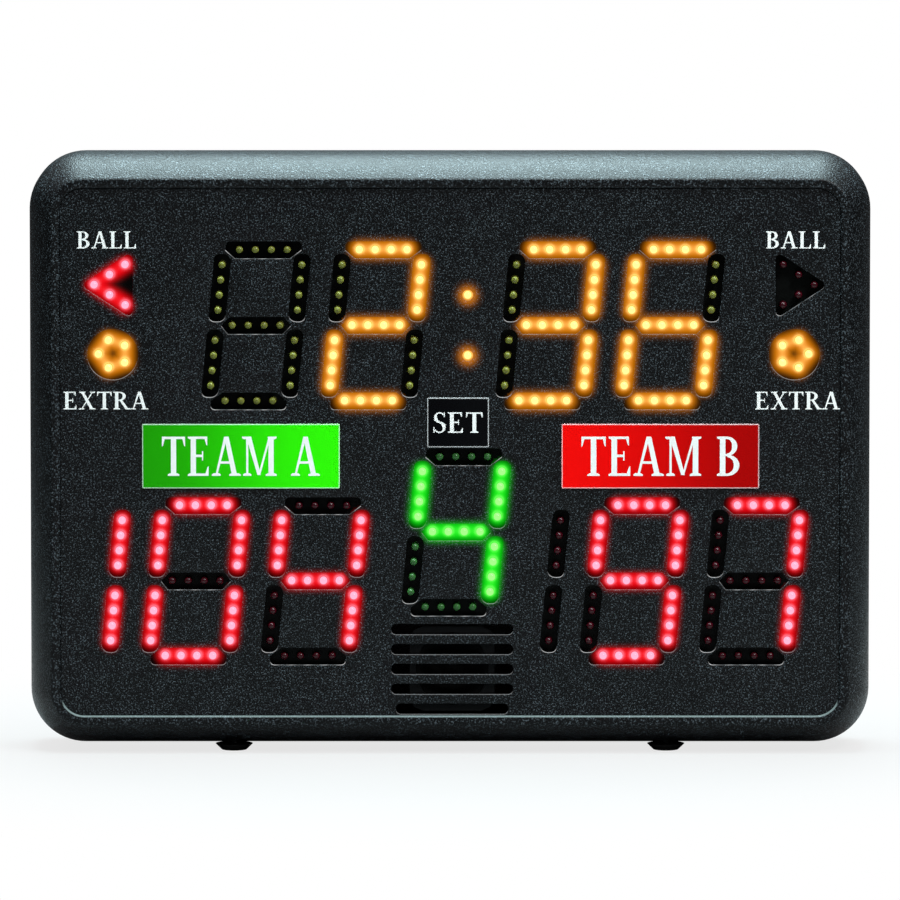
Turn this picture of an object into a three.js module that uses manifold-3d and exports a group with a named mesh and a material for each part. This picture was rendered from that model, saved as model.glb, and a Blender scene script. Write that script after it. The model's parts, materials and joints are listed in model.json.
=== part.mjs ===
// Tabletop electronic scoreboard: a moulded two-part case with windows over rows of LEDs, a horn
// behind a slotted grille, a battery bay with a hinged door, and a recessed panel of controls.
// Millimetres. X runs to the right seen from the front, Y from the front to the back, Z upwards.
// The origin is on the table under the middle of the case.
import * as THREE from "three";
import { mergeVertices } from "three/addons/utils/BufferGeometryUtils.js";
import Module from "manifold-3d";

const wasm = await Module();
wasm.setup();

// Case
const bodyWidth = 566;
const bodyHeight = 398;
const frontDepth = 51;
const rearDepth = 51;
const wall = 3;
const cornerRadius = 37;
const borderSlope = 15.3;
const borderEdgeAngle = THREE.MathUtils.degToRad(45);
const rearRound = 30;
const rimWidth = 6;
const panelStep = 1.5;
const panelThickness = 3;
const partingGap = 0.3;
const lipDepth = 2.5;
const lipThickness = 1.4;

// Clearances and cutting
const fit = 0.3;
const mouldCorner = 0.4;
const runningFit = 0.35;
const overrun = 1;

// Facets
const cornerSteps = 5;
const slopeSteps = 3;
const roundSteps = 4;
const pocketSteps = 2;
const rodSides = 12;
const smallRodSides = 8;
const fineRodSides = 6;
const lensSides = 4;

// Feet, and the pads under the case that carry them
const footHeight = 4.6;
const footTopRadius = 12.7;
const footTreadRadius = 8.5;
const footBore = 4.4;
const footCounterbore = 8.4;
const footWeb = 1.6;
const footShare = 0.515;
const footSpread = 48;
const footPadRadius = 13.2;
const footPadHeight = 8;
const footBossRadius = 5;
const footBossHeight = 14;
const footScrewLength = 9;
const footScrewRadius = 1.9;
const footScrewHeadRadius = 3.6;
const footScrewHeadHeight = 1.6;
const footPilotRadius = 2.3;

// LEDs on their grid: five columns and ten rows to a digit, leaning to the right. The grid and the
// windows grow with the panel: lengths across are shares of its half width, heights of its half height.
const columnPitchShare = 0.040764;
const rowPitchShare = 0.057175;
const leanShare = 0.0975;
const digitSpacingShare = 0.30684;
const clockHalfGapShare = 0.223538;
const colonOffsetShare = 0.012228;
const lensRadius = 2.5;
const lensHeight = 8.6;
const lensDepthBelowPanel = 0.8;

// Windows in the front panel; corners are shares of the window's own half width
const railWindowHalfWidthShare = 0.021781;
const railWindowEndShare = 0.127743;
const railWindowInnerCornerShare = 0.9123;
const railWindowOuterCornerShare = 0.7018;
const rungWindowHalfHeightShare = 0.032077;
const rungWindowShoulderShare = 0.069927;
const rungWindowEndShare = 0.097058;
const rungWindowCornerShare = 0.5263;
const middleWindowPointShare = 0.089033;
const colonWindowRadius = 3.6;
const bonusWindowRadiusShare = 0.095667;
const bonusRingRadiusShare = 0.054868;
const bonusWindowSides = 18;
const bonusLeds = 5;
const arrowColumnPitchShare = 0.03974;
const arrowRowPitchShare = 0.038267;
const arrowBackShare = 0.01987;
const arrowPointShare = 0.034391;
const arrowHalfHeightShare = 0.129432;
const arrowCorner = 3;

// Places on the panel, as shares of its half width and half height
const clockPlaceShares = [0.0333, 0.4806];
const homeOnesPlaceShares = [-0.3455, -0.4885];
const guestOnesPlaceShares = [0.7803, -0.4885];
const periodPlaceShares = [0.016, -0.3028];
const homeBonusPlaceShares = [-0.8644, 0.3714];
const guestBonusPlaceShares = [0.8827, 0.3714];
const homeArrowPlaceShares = [-0.8724, 0.6336];
const guestArrowPlaceShares = [0.8934, 0.6336];
const homePlatePlaceShares = [-0.5361, -0.0135];
const guestPlatePlaceShares = [0.5395, -0.0135];
const periodPlatePlaceShares = [0.0206, 0.1142];
const grillePlaceShares = [0.0054, -0.8232];

// Name plates
const teamPlateWidthShare = 0.506687;
const teamPlateHeightShare = 0.244232;
const periodPlateWidthShare = 0.158197;
const periodPlateHeightShare = 0.187957;
const plateThickness = 1.2;
const plateCorner = 1;

// LED boards and the snap hooks that hold boards and the loudspeaker
const boardThickness = 1.6;
const boardMargin = 9;
const indicatorBoardHalfWidth = 24;
const indicatorBoardMargin = 20;
const hookWidth = 8;
const hookThickness = 2;
const hookShoulder = 1.6;
const hookNose = 1.2;
const hookNoseHeight = 2.6;
const hookSpreadShare = 0.6;

// Horn grille and loudspeaker; the loudspeaker's radii are shares of its square flange
const grilleSlots = 5;
const grillePitchShare = 0.07569;
const grilleSlotWidthShare = 0.313336;
const grilleLastSlotShare = 0.92195;
const grilleSlotHeightShare = 0.52045;
const grilleSlotSteps = 2;
const speakerFlangeShare = 0.320766;
const speakerFlangeCorner = 9;
const speakerFlangeThickness = 1.8;
const speakerMouthShare = 0.438596;
const speakerBackShare = 0.263158;
const speakerBasketWall = 1.4;
const speakerDepth = 19;
const coneEdgeShare = 0.412281;
const coneThickness = 1;
const coneNeckRadius = 8;
const coneDepth = 12;
const dustCapHeight = 3;
const magnetShare = 0.368421;
const magnetThickness = 13;
const speakerSides = 14;

// Screws that join the two halves of the case
const caseScrewColumnShares = [-0.917, -0.363, 0.363, 0.917];
const caseScrewRowShares = [-0.9, 0.9];
const screwHeadRadius = 3.3;
const screwHeadHeight = 2.4;
const screwRadius = 1.75;
const screwLength = 16;
const screwWellRadius = 3.9;
const screwWellWall = 1.7;
const screwSeatY = 12;
const screwPostRadius = 4.6;
const screwPilotRadius = 2.05;
const screwHoleRadius = 2.1;

// Battery bay for large round cells, its contacts and its door
const bayPlaceShares = [0, -0.46];
const cellRadius = 16.6;
const cellHeight = 61.5;
const cellColumns = 4;
const cellRows = 2;
const contactThickness = 0.8;
const contactWidth = 22;
const springHeight = 3;
const springRadius = 7;
const bayWall = 2;
const doorThickness = 2.5;
const doorLedge = 3;
const doorHingeLedge = 6;
const hingeRadius = 2.5;
const hingePinRadius = 1.4;
const hingePinLength = 4;
const doorFrame = 5;
const hingeBlock = 8;
const latchWidth = 22;
const latchDepth = 5;
const latchThickness = 1.6;
const latchScoopHeight = 9;
const latchScoopDepth = 1.1;
const doorGrooves = 4;
const doorGroovePitch = 5;
const doorGrooveDepth = 0.6;
const doorGrooveWidth = 1.6;
const doorGrooveLengthShare = 0.3;

// Tubs let into the back wall
const tubFlangeWidth = 3;
const tubFlangeThickness = 2;

// Recessed control panel at the back, above the lower screws; the controls' places are shares of
// its width
const controlPlaceShare = 0.65;
const controlAboveScrews = 4;
const controlWidthShare = 0.481467;
const controlBayHeight = 34;
const controlBayDepth = 14;
const controlBayCorner = 5;
const controlFloor = 2.5;
const switchPlaceShare = 0.365079;
const powerSocketPlaceShare = 0.142857;
const cableSocketPlaceShare = -0.063492;
const volumePlaceShare = -0.333333;

const switchBezelWidth = 17;
const switchBezelHeight = 24;
const switchBezelThickness = 2;
const switchBodyWidth = 13.6;
const switchBodyHeight = 20;
const switchBodyDepth = 15;
const rockerWidth = 10.2;
const rockerHalfLength = 7.3;
const rockerEndRise = 5.6;
const rockerMiddleRise = 4.2;
const rockerBelow = 2.2;
const rockerTilt = THREE.MathUtils.degToRad(9);
const rockerPinRadius = 1.2;
const rockerPinLength = 0.9;
const rockerPivotInset = 0.6;
const terminalWidth = 4.8;
const terminalThickness = 0.8;
const terminalLength = 7;
const terminalPitch = 6;

const powerSocketFlangeRadius = 5.6;
const powerSocketFlange = 1.6;
const powerSocketBarrelRadius = 4;
const powerSocketBoreRadius = 3.2;
const powerSocketBoreDepth = 9.5;
const powerSocketPinRadius = 1;
const powerSocketDepth = 13;

const cableSocketFlangeWidth = 19;
const cableSocketFlangeHeight = 17.5;
const cableSocketFlange = 1.4;
const cableSocketBodyWidth = 15.6;
const cableSocketBodyHeight = 14;
const cableSocketDepth = 17;
const cableSocketMouthWidth = 11.9;
const cableSocketMouthHeight = 6.9;
const cableSocketMouthDepth = 13;
const cableSocketKeyWidth = 6;
const cableSocketKeyHeight = 2.4;

const volumeBodyRadius = 8;
const volumeBodyDepth = 9;
const volumeBushingRadius = 3.5;
const volumeBushingLength = 5.4;
const volumeNutRadius = 5.5;
const volumeNutThickness = 2;
const volumeShaftRadius = 2.5;
const knobRadius = 8.5;
const knobTopRadius = 7.4;
const knobHeight = 9.6;
const knobBoreDepth = 6.5;
const knobFlutes = 12;
const knobFluteDepth = 0.8;
const knobEdge = 1;
const knobPointerWidth = 1.2;
const knobPointerDepth = 0.6;

// Hand grip pocket and wall hanging holes
const gripPlaceShare = 0.8;
const gripWidth = 112;
const gripHeight = 28;
const gripDepth = 27;
const gripWall = 2.5;
const gripCorner = 8;
const keyholeShares = [0.53, 0.62];
const keyholeRadius = 4.6;
const keyholeSlotWidth = 4.8;
const keyholeSlotLength = 9;

// Control circuit board
const controlBoardWidth = 150;
const controlBoardHeight = 84;
const controlBoardRowShare = 0.34;
const controlBoardSetback = 25;
const chipWidth = 36;
const chipHeight = 14;
const chipThickness = 3.6;
const chipOffsetShare = -0.24;
const heatSinkWidth = 40;
const heatSinkHeight = 26;
const heatSinkBase = 2;
const heatSinkFins = 6;
const heatSinkFinHeight = 9;
const heatSinkFinThickness = 1.3;
const heatSinkOffsetShare = 0.26;

// Ribbon cables
const ribbonThickness = 1;
const ribbonWidth = 24;
const jumperWidth = 16;
const jumperLanding = 6;
const jumperArchShare = 0.25;
const ribbonSteps = 6;

// Worked out from the sizes above
const halfWidth = bodyWidth / 2;
const halfHeight = bodyHeight / 2;
const centreZ = footHeight + halfHeight;
const panelInset = borderSlope + rimWidth;
const panelHalfWidth = halfWidth - panelInset;
const panelHalfHeight = halfHeight - panelInset;
const panelCorner = cornerRadius - panelInset;
const frontY = -frontDepth;
const rearY = rearDepth;
const panelFaceY = frontY + panelStep;
const panelBackY = panelFaceY + panelThickness;
const rearWallY = rearY - wall;
const slopeRadius = borderSlope / (1 - Math.sin(borderEdgeAngle));
const slopeDepth = slopeRadius * Math.cos(borderEdgeAngle);
const columnPitch = columnPitchShare * panelHalfWidth;
const rowPitch = rowPitchShare * panelHalfHeight;
const digitSpacing = digitSpacingShare * panelHalfWidth;
const clockHalfGap = clockHalfGapShare * panelHalfWidth;
const colonOffset = colonOffsetShare * panelHalfWidth;
const railWindowHalfWidth = railWindowHalfWidthShare * panelHalfWidth;
const railWindowEnd = railWindowEndShare * panelHalfHeight;
const rungWindowHalfHeight = rungWindowHalfHeightShare * panelHalfHeight;
const rungWindowShoulder = rungWindowShoulderShare * panelHalfWidth;
const rungWindowEnd = rungWindowEndShare * panelHalfWidth;
const middleWindowPoint = middleWindowPointShare * panelHalfWidth;
const bonusWindowRadius = bonusWindowRadiusShare * panelHalfHeight;
const bonusRingRadius = bonusRingRadiusShare * panelHalfHeight;
const arrowColumnPitch = arrowColumnPitchShare * panelHalfWidth;
const arrowRowPitch = arrowRowPitchShare * panelHalfHeight;
const arrowHalfHeight = arrowHalfHeightShare * panelHalfHeight;
const grillePitch = grillePitchShare * panelHalfHeight;
const grilleSlotWidth = grilleSlotWidthShare * panelHalfWidth;
const grilleSlotHeight = grilleSlotHeightShare * grillePitch;
const speakerFlange = speakerFlangeShare * panelHalfHeight;
const speakerMouthRadius = speakerMouthShare * speakerFlange;
const speakerBackRadius = speakerBackShare * speakerFlange;
const lensTipY = panelFaceY + lensDepthBelowPanel;
const boardFaceY = lensTipY + lensHeight;
const boardBackY = boardFaceY + boardThickness;

const axisX = new THREE.Vector3(1, 0, 0);
const axisY = new THREE.Vector3(0, 1, 0);
const axisZ = new THREE.Vector3(0, 0, 1);

// A place on the panel, from its shares of the half width and half height.
const onPanel = ([across, up]) => [across * panelHalfWidth, centreZ + up * panelHalfHeight];

// Turns a closed three.js geometry into a solid, faces outwards.
function solid(geometry) {
  const bare = new THREE.BufferGeometry();
  bare.setAttribute("position", geometry.getAttribute("position"));
  bare.setIndex(geometry.getIndex());
  const merged = mergeVertices(bare);
  const index = merged.getIndex().array;
  const kept = [];
  for (let i = 0; i < index.length; i += 3) {
    const [a, b, c] = [index[i], index[i + 1], index[i + 2]];
    if (a !== b && b !== c && c !== a) kept.push(a, b, c);
  }
  const vertProperties = new Float32Array(merged.getAttribute("position").array);
  const make = (triVerts) => new wasm.Manifold(new wasm.Mesh({ numProp: 3, vertProperties, triVerts }));
  const made = make(new Uint32Array(kept));
  return made.volume() > 0 ? made : make(new Uint32Array(kept.toReversed()));
}

const union = (parts) => wasm.Manifold.union(parts);

// Makes a named mesh from a solid.
function piece(name, body, material) {
  const mesh = body.getMesh();
  const stride = mesh.numProp;
  const points = new Float32Array(mesh.numVert * 3);
  for (let i = 0; i < mesh.numVert; i++) {
    points.set(mesh.vertProperties.subarray(i * stride, i * stride + 3), i * 3);
  }
  const geometry = new THREE.BufferGeometry();
  geometry.setAttribute("position", new THREE.BufferAttribute(points, 3));
  geometry.setIndex(new THREE.BufferAttribute(new Uint32Array(mesh.triVerts), 1));
  const shown = new THREE.Mesh(geometry.toNonIndexed(), material);
  shown.geometry.computeVertexNormals();
  shown.name = name;
  return shown;
}

// Box from its lowest and highest corners.
function box([x0, y0, z0], [x1, y1, z1]) {
  const made = new THREE.BoxGeometry(x1 - x0, y1 - y0, z1 - z0);
  return solid(made.translate((x0 + x1) / 2, (y0 + y1) / 2, (z0 + z1) / 2));
}

// Plate with an outline in X and Z, from one depth in Y to another.
function plate(outline, fromY, toY) {
  const shape = new THREE.Shape(outline.map(([x, z]) => new THREE.Vector2(x, z)));
  const made = new THREE.ExtrudeGeometry(shape, { depth: toY - fromY, bevelEnabled: false });
  return solid(made.rotateX(Math.PI / 2).translate(0, toY, 0));
}

// Round bar along Y, or along another axis.
function rod(radius, fromY, toY, [x, z], sides = rodSides) {
  const made = new THREE.CylinderGeometry(radius, radius, toY - fromY, sides);
  return solid(made.translate(x, (fromY + toY) / 2, z));
}

function rodAlongZ(radius, fromZ, toZ, [x, y], sides = rodSides) {
  const made = new THREE.CylinderGeometry(radius, radius, toZ - fromZ, sides);
  return solid(made.rotateX(Math.PI / 2).translate(x, y, (fromZ + toZ) / 2));
}

function rodAlongX(radius, fromX, toX, [y, z], sides = rodSides) {
  const made = new THREE.CylinderGeometry(radius, radius, toX - fromX, sides);
  return solid(made.rotateZ(Math.PI / 2).translate((fromX + toX) / 2, y, z));
}

// Turned piece: its profile is a list of radius and place along Y, from axis to axis.
function turned(profile, sides) {
  const points = profile.map(([radius, along]) => new THREE.Vector2(radius, along));
  return solid(new THREE.LatheGeometry(points, sides));
}

// Polygon with its corners rounded: each corner is a place and a radius.
function rounded(corners, steps) {
  const outline = [];
  corners.forEach(([x, z, radius], i) => {
    const corner = new THREE.Vector2(x, z);
    const before = corners[(i + corners.length - 1) % corners.length];
    const after = corners[(i + 1) % corners.length];
    if (radius === 0) {
      outline.push([x, z]);
      return;
    }
    const back = new THREE.Vector2(before[0], before[1]).sub(corner).normalize();
    const on = new THREE.Vector2(after[0], after[1]).sub(corner).normalize();
    const halfAngle = Math.acos(THREE.MathUtils.clamp(back.dot(on), -1, 1)) / 2;
    const reach = radius / Math.tan(halfAngle);
    const centre = back.clone().add(on).normalize().multiplyScalar(radius / Math.sin(halfAngle)).add(corner);
    const start = back.clone().multiplyScalar(reach).add(corner).sub(centre);
    const end = on.clone().multiplyScalar(reach).add(corner).sub(centre);
    const turn = Math.atan2(start.cross(end), start.dot(end));
    for (let k = 0; k <= steps; k++) {
      const point = start.clone().rotateAround(new THREE.Vector2(), (turn * k) / steps).add(centre);
      outline.push([point.x, point.y]);
    }
  });
  return outline;
}

function roundedBox([x, z], width, height, radius, steps) {
  const [w, h] = [width / 2, height / 2];
  const signs = [[-1, -1], [1, -1], [1, 1], [-1, 1]];
  return rounded(signs.map(([i, k]) => [x + i * w, z + k * h, radius]), steps);
}

// Case form through rounded sections: each one is a depth in Y and an inset from the full outline.
function caseForm(sections) {
  const rings = sections.map(([y, inset]) => {
    const size = [bodyWidth - 2 * inset, bodyHeight - 2 * inset];
    const outline = roundedBox([0, centreZ], ...size, cornerRadius - inset, cornerSteps);
    return outline.map(([x, z]) => [x, y, z]);
  });
  const count = rings[0].length;
  const index = [];
  for (let r = 0; r + 1 < rings.length; r++) {
    for (let i = 0; i < count; i++) {
      const [a, b] = [r * count + i, r * count + ((i + 1) % count)];
      index.push(a, a + count, b, b, a + count, b + count);
    }
  }
  const last = (rings.length - 1) * count;
  for (let i = 1; i + 1 < count; i++) {
    index.push(0, i, i + 1, last, last + i + 1, last + i);
  }
  const geometry = new THREE.BufferGeometry();
  geometry.setAttribute("position", new THREE.Float32BufferAttribute(rings.flat(2), 3));
  geometry.setIndex(index);
  return solid(geometry);
}

// Inset of the sloping front border at a depth in Y: an arc that leaves the rim at an angle.
function frontInset(y) {
  const cosine = Math.cos(borderEdgeAngle) - (y - frontY) / slopeRadius;
  return cosine <= 0 ? 0 : slopeRadius * (1 - Math.sqrt(1 - cosine * cosine));
}

function frontSections(firstY, lastY, extraInset) {
  const sections = [];
  for (let k = 0; k <= slopeSteps; k++) {
    const y = firstY + ((frontY + slopeDepth - firstY) * k) / slopeSteps;
    sections.push([y, frontInset(y) + extraInset]);
  }
  sections.push([lastY, extraInset]);
  return sections;
}

function rearSections(firstY, backY, extraInset) {
  const sections = [[firstY, extraInset]];
  const depth = backY - (rearY - rearRound);
  for (let k = 0; k <= roundSteps; k++) {
    const angle = (Math.PI / 2) * (k / roundSteps);
    const y = rearY - rearRound + depth * Math.sin(angle);
    sections.push([y, (rearRound - extraInset) * (1 - Math.cos(angle)) + extraInset]);
  }
  return sections;
}

// LED rows of a seven-segment digit, as column and row numbers on the digit's grid.
const rungColumns = [-1.5, -0.5, 0.5, 1.5];
const railRows = [1, 2, 3, 4];
const segments = {
  top: rungColumns.map((c) => [c, 5]),
  middle: rungColumns.map((c) => [c, 0]),
  bottom: rungColumns.map((c) => [c, -5]),
  upperLeft: railRows.map((r) => [-2.5, r]),
  upperRight: railRows.map((r) => [2.5, r]),
  lowerLeft: railRows.map((r) => [-2.5, -r]),
  lowerRight: railRows.map((r) => [2.5, -r]),
};
const wholeDigit = Object.keys(segments);
const digitOne = ["upperRight", "lowerRight"];

// Leans a point of a digit and moves it to the digit's place.
const leaned = ([x, z], [across, up]) => [x + across + up * leanShare, z + up];

function segmentLeds(place, name) {
  return segments[name].map(([c, r]) => leaned(place, [c * columnPitch, r * rowPitch]));
}

// Corners of a segment's window about the middle of its row of LEDs, each with its rounding. The
// top and bottom windows slope towards the digit's middle, and so do the inner corners of the rails.
function windowCorners(name) {
  const [w, h, shoulder] = [railWindowHalfWidth, rungWindowHalfHeight, rungWindowShoulder];
  if (name === "middle") {
    const below = [[-middleWindowPoint, 0, 0], [-shoulder, -h, 0], [shoulder, -h, 0]];
    return [...below, ...below.map(([x, z, corner]) => [-x, -z, corner])];
  }
  if (name === "top" || name === "bottom") {
    const outwards = name === "top" ? h : -h;
    const end = [rungWindowEnd, outwards, rungWindowCornerShare * h];
    const right = [[shoulder, -outwards, 0], [rungWindowEnd, 0, 0], end];
    return [...right, ...right.toReversed().map(([x, z, corner]) => [-x, z, corner])];
  }
  const side = name.endsWith("Right") ? w : -w;
  const ends = [-railWindowEnd, railWindowEnd];
  return ends.flatMap((end, k) => {
    const inner = [-side, end, railWindowInnerCornerShare * w];
    const outer = [side, end, railWindowOuterCornerShare * w];
    return k === 0 ? [inner, outer] : [outer, inner];
  });
}

function segmentWindow(place, name) {
  const leds = segments[name];
  const middle = [0, 1].map((k) => leds.reduce((sum, led) => sum + led[k], 0) / leds.length);
  const centre = [middle[0] * columnPitch, middle[1] * rowPitch];
  const outline = rounded(windowCorners(name), 1);
  return outline.map(([across, up]) => leaned(place, [centre[0] + across, centre[1] + up]));
}

// Digits: where each one is and which segments it has.
const clockPlace = onPanel(clockPlaceShares);
const clockReach = clockHalfGap + digitSpacing;
const clockOffsets = [-clockReach, -clockHalfGap, clockHalfGap, clockReach];
const clockDigits = clockOffsets.map((dx) =>
  ({ place: [clockPlace[0] + dx, clockPlace[1]], parts: wholeDigit }));
const colonPlaces = [-2, 2].map((row) => [clockPlace[0] + colonOffset, clockPlace[1] + row * rowPitch]);

function scoreDigits(onesShares) {
  const [x, z] = onPanel(onesShares);
  const parts = [digitOne, wholeDigit, wholeDigit];
  return parts.map((names, k) => ({ place: [x - (2 - k) * digitSpacing, z], parts: names }));
}
const homeDigits = scoreDigits(homeOnesPlaceShares);
const guestDigits = scoreDigits(guestOnesPlaceShares);
const periodDigits = [{ place: onPanel(periodPlaceShares), parts: wholeDigit }];

// Indicators: an arrow of LEDs that points outwards, and a ring of them below it.
const indicators = [
  { arrow: onPanel(homeArrowPlaceShares), ring: onPanel(homeBonusPlaceShares), side: -1 },
  { arrow: onPanel(guestArrowPlaceShares), ring: onPanel(guestBonusPlaceShares), side: 1 },
];

function arrowLeds({ arrow: [x, z], side }) {
  const steps = [[1, 0], [0, 1], [0, -1], [-1, 2], [-1, -2]];
  return steps.map(([c, r]) => [x + side * c * arrowColumnPitch, z + r * arrowRowPitch]);
}

function ringLeds({ ring: [x, z], side }) {
  return Array.from({ length: bonusLeds }, (_, k) => {
    const angle = (2 * Math.PI * k) / bonusLeds;
    return [x + side * bonusRingRadius * Math.cos(angle), z + bonusRingRadius * Math.sin(angle)];
  });
}

function arrowWindow({ arrow: [x, z], side }) {
  const back = x - side * (arrowColumnPitch + arrowBackShare * panelHalfWidth);
  const point = x + side * (arrowColumnPitch + arrowPointShare * panelHalfWidth);
  const corners = [[back, z - arrowHalfHeight], [point, z], [back, z + arrowHalfHeight]];
  return rounded(corners.map((c) => [...c, arrowCorner]), 2);
}

const digitLeds = (digits) => digits.flatMap((d) => d.parts.flatMap((name) => segmentLeds(d.place, name)));
const digitWindows = (digits) => digits.flatMap((d) => d.parts.map((name) => segmentWindow(d.place, name)));
const allDigits = [...clockDigits, ...homeDigits, ...guestDigits, ...periodDigits];

// Boards: each outline surrounds its LEDs.
function boardAround(leds) {
  const xs = leds.map((p) => p[0]);
  const zs = leds.map((p) => p[1]);
  const low = [Math.min(...xs) - boardMargin, Math.min(...zs) - boardMargin];
  const high = [Math.max(...xs) + boardMargin, Math.max(...zs) + boardMargin];
  return { low, high, leds };
}

// The indicator boards are wide enough to close off the ring's window.
function indicatorBoard(indicator) {
  const { low, high, leds } = boardAround([...arrowLeds(indicator), ...ringLeds(indicator)]);
  const [x, z] = indicator.ring;
  return {
    low: [x - indicatorBoardHalfWidth, z - indicatorBoardMargin],
    high: [x + indicatorBoardHalfWidth, high[1]],
    leds,
  };
}

const boards = {
  clock: boardAround([...digitLeds(clockDigits), ...colonPlaces]),
  home_score: boardAround(digitLeds(homeDigits)),
  guest_score: boardAround(digitLeds(guestDigits)),
  period: boardAround(digitLeds(periodDigits)),
  home_indicator: indicatorBoard(indicators[0]),
  guest_indicator: indicatorBoard(indicators[1]),
};

// Snap hook: it stands on a wall beside the edge of a sheet, with a shoulder under the near face
// of the sheet and a nose over the far face.
function snapHook(wallY, nearY, farY, edge, outwards, across) {
  const side = Math.sign(farY - wallY);
  const [under, over] = [nearY - side * fit, farY + side * fit];
  const outer = fit + hookThickness;
  const outline = [
    [-hookShoulder, wallY - side * fit], [-hookShoulder, under], [fit, under], [fit, over],
    [-hookNose, over], [outer, over + side * hookNoseHeight], [outer, wallY - side * fit],
  ];
  const shape = new THREE.Shape(outline.map(([away, y]) => new THREE.Vector2(away, y)));
  const made = new THREE.ExtrudeGeometry(shape, { depth: hookWidth, bevelEnabled: false });
  made.translate(0, 0, -hookWidth / 2);
  made.applyMatrix4(new THREE.Matrix4().makeBasis(outwards, axisY, across));
  return solid(made.translate(edge.x, 0, edge.z));
}

// Hooks along the upper and lower edges of a sheet.
function hooksAboveAndBelow({ low, high }, wallY, nearY, farY) {
  const middle = (low[0] + high[0]) / 2;
  const reach = (hookSpreadShare * (high[0] - low[0])) / 2;
  return [[high[1], axisZ], [low[1], axisZ.clone().negate()]].flatMap(([z, outwards]) =>
    [-reach, reach].map((dx) =>
      snapHook(wallY, nearY, farY, new THREE.Vector3(middle + dx, 0, z), outwards, axisX)));
}

// Hooks along the left and right edges of a square sheet.
function hooksAtSides([x, z], width, wallY, nearY, farY) {
  const reach = (hookSpreadShare * width) / 2;
  return [axisX, axisX.clone().negate()].flatMap((outwards) => [-reach, reach].map((dz) => {
    const edge = new THREE.Vector3(x + (outwards.x * width) / 2, 0, z + dz);
    return snapHook(wallY, nearY, farY, edge, outwards, axisZ);
  }));
}

// Outline of an LED, with few sides because there are hundreds of them.
function lensOutline([x, z]) {
  return Array.from({ length: lensSides }, (_, k) => {
    const angle = (2 * Math.PI * (k + 1 / 2)) / lensSides;
    return [x + lensRadius * Math.cos(angle), z + lensRadius * Math.sin(angle)];
  });
}

// LEDs standing on their board, fixed into its face.
function ledBoard({ low, high, leds }) {
  const sheet = box([low[0], boardFaceY, low[1]], [high[0], boardBackY, high[1]]);
  const lens = plate(lensOutline([0, 0]), lensTipY, boardFaceY + boardThickness / 2);
  return union([sheet, ...leds.map(([x, z]) => lens.translate([x, 0, z]))]);
}

// Places of the case screws, and of the feet.
const caseScrewPlaces = caseScrewRowShares.flatMap((up) =>
  caseScrewColumnShares.map((across) => onPanel([across, up])));
const footX = footShare * halfWidth;
const feet = [
  { name: "front_left", place: [-footX, -footSpread / 2] },
  { name: "front_right", place: [footX, -footSpread / 2] },
  { name: "rear_left", place: [-footX, footSpread / 2] },
  { name: "rear_right", place: [footX, footSpread / 2] },
];

// Speaker, behind the grille.
const grillePlace = onPanel(grillePlaceShares);
const speakerFaceY = panelBackY + fit;
const speakerFlangeBackY = speakerFaceY + speakerFlangeThickness;

function grilleOutlines() {
  return Array.from({ length: grilleSlots }, (_, k) => {
    const z = grillePlace[1] + ((grilleSlots - 1) / 2 - k) * grillePitch;
    const width = k === grilleSlots - 1 ? grilleLastSlotShare * grilleSlotWidth : grilleSlotWidth;
    const end = grilleSlotHeight / 2 - fit / 2;
    return roundedBox([grillePlace[0], z], width, grilleSlotHeight, end, grilleSlotSteps);
  });
}

// Foot pad moulded under a half of the case, its boss and the hole for the foot's screw.
function footPad([x, y]) {
  return union([
    rodAlongZ(footPadRadius, footHeight, footHeight + footPadHeight, [x, y]),
    rodAlongZ(footBossRadius, footHeight, footHeight + footBossHeight, [x, y], smallRodSides),
  ]);
}
const footPilot = ([x, y]) =>
  rodAlongZ(footPilotRadius, footHeight - overrun, footHeight + footScrewLength + fit, [x, y], fineRodSides);

function frontHousing() {
  const outer = caseForm(frontSections(frontY, 0, 0));
  const inner = caseForm(frontSections(panelBackY, overrun, wall));
  const recess = roundedBox([0, centreZ], 2 * panelHalfWidth, 2 * panelHalfHeight, panelCorner, cornerSteps);
  const cutY = [frontY - overrun, panelBackY + overrun];
  const arrows = indicators.map((i) => plate(arrowWindow(i), ...cutY));
  const rings = indicators.map((i) => rod(bonusWindowRadius, ...cutY, i.ring, bonusWindowSides));
  const colons = colonPlaces.map((place) => rod(colonWindowRadius, ...cutY, place));
  const outlines = [...digitWindows(allDigits), ...grilleOutlines()];
  const windows = outlines.map((outline) => plate(outline, ...cutY));
  const hooks = Object.values(boards).flatMap((board) =>
    hooksAboveAndBelow(board, panelBackY, boardFaceY, boardBackY));
  const flangeFaces = [speakerFaceY, speakerFlangeBackY];
  const speakerHooks = hooksAtSides(grillePlace, speakerFlange, panelBackY, ...flangeFaces);
  const posts = caseScrewPlaces.map((place) =>
    rod(screwPostRadius, panelBackY - overrun, -fit, place, smallRodSides));
  const pilots = caseScrewPlaces.map((place) =>
    rod(screwPilotRadius, -screwLength, overrun, place, fineRodSides));
  const frontFeet = feet.filter((foot) => foot.place[1] < 0).map((foot) => foot.place);
  return union([outer.subtract(inner), ...frontFeet.map(footPad)])
    .subtract(plate(recess, frontY - overrun, panelFaceY))
    .subtract(union([...windows, ...arrows, ...rings, ...colons]))
    .add(union([...hooks, ...speakerHooks, ...posts]))
    .subtract(union([...pilots, ...frontFeet.map(footPilot)]));
}

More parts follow.
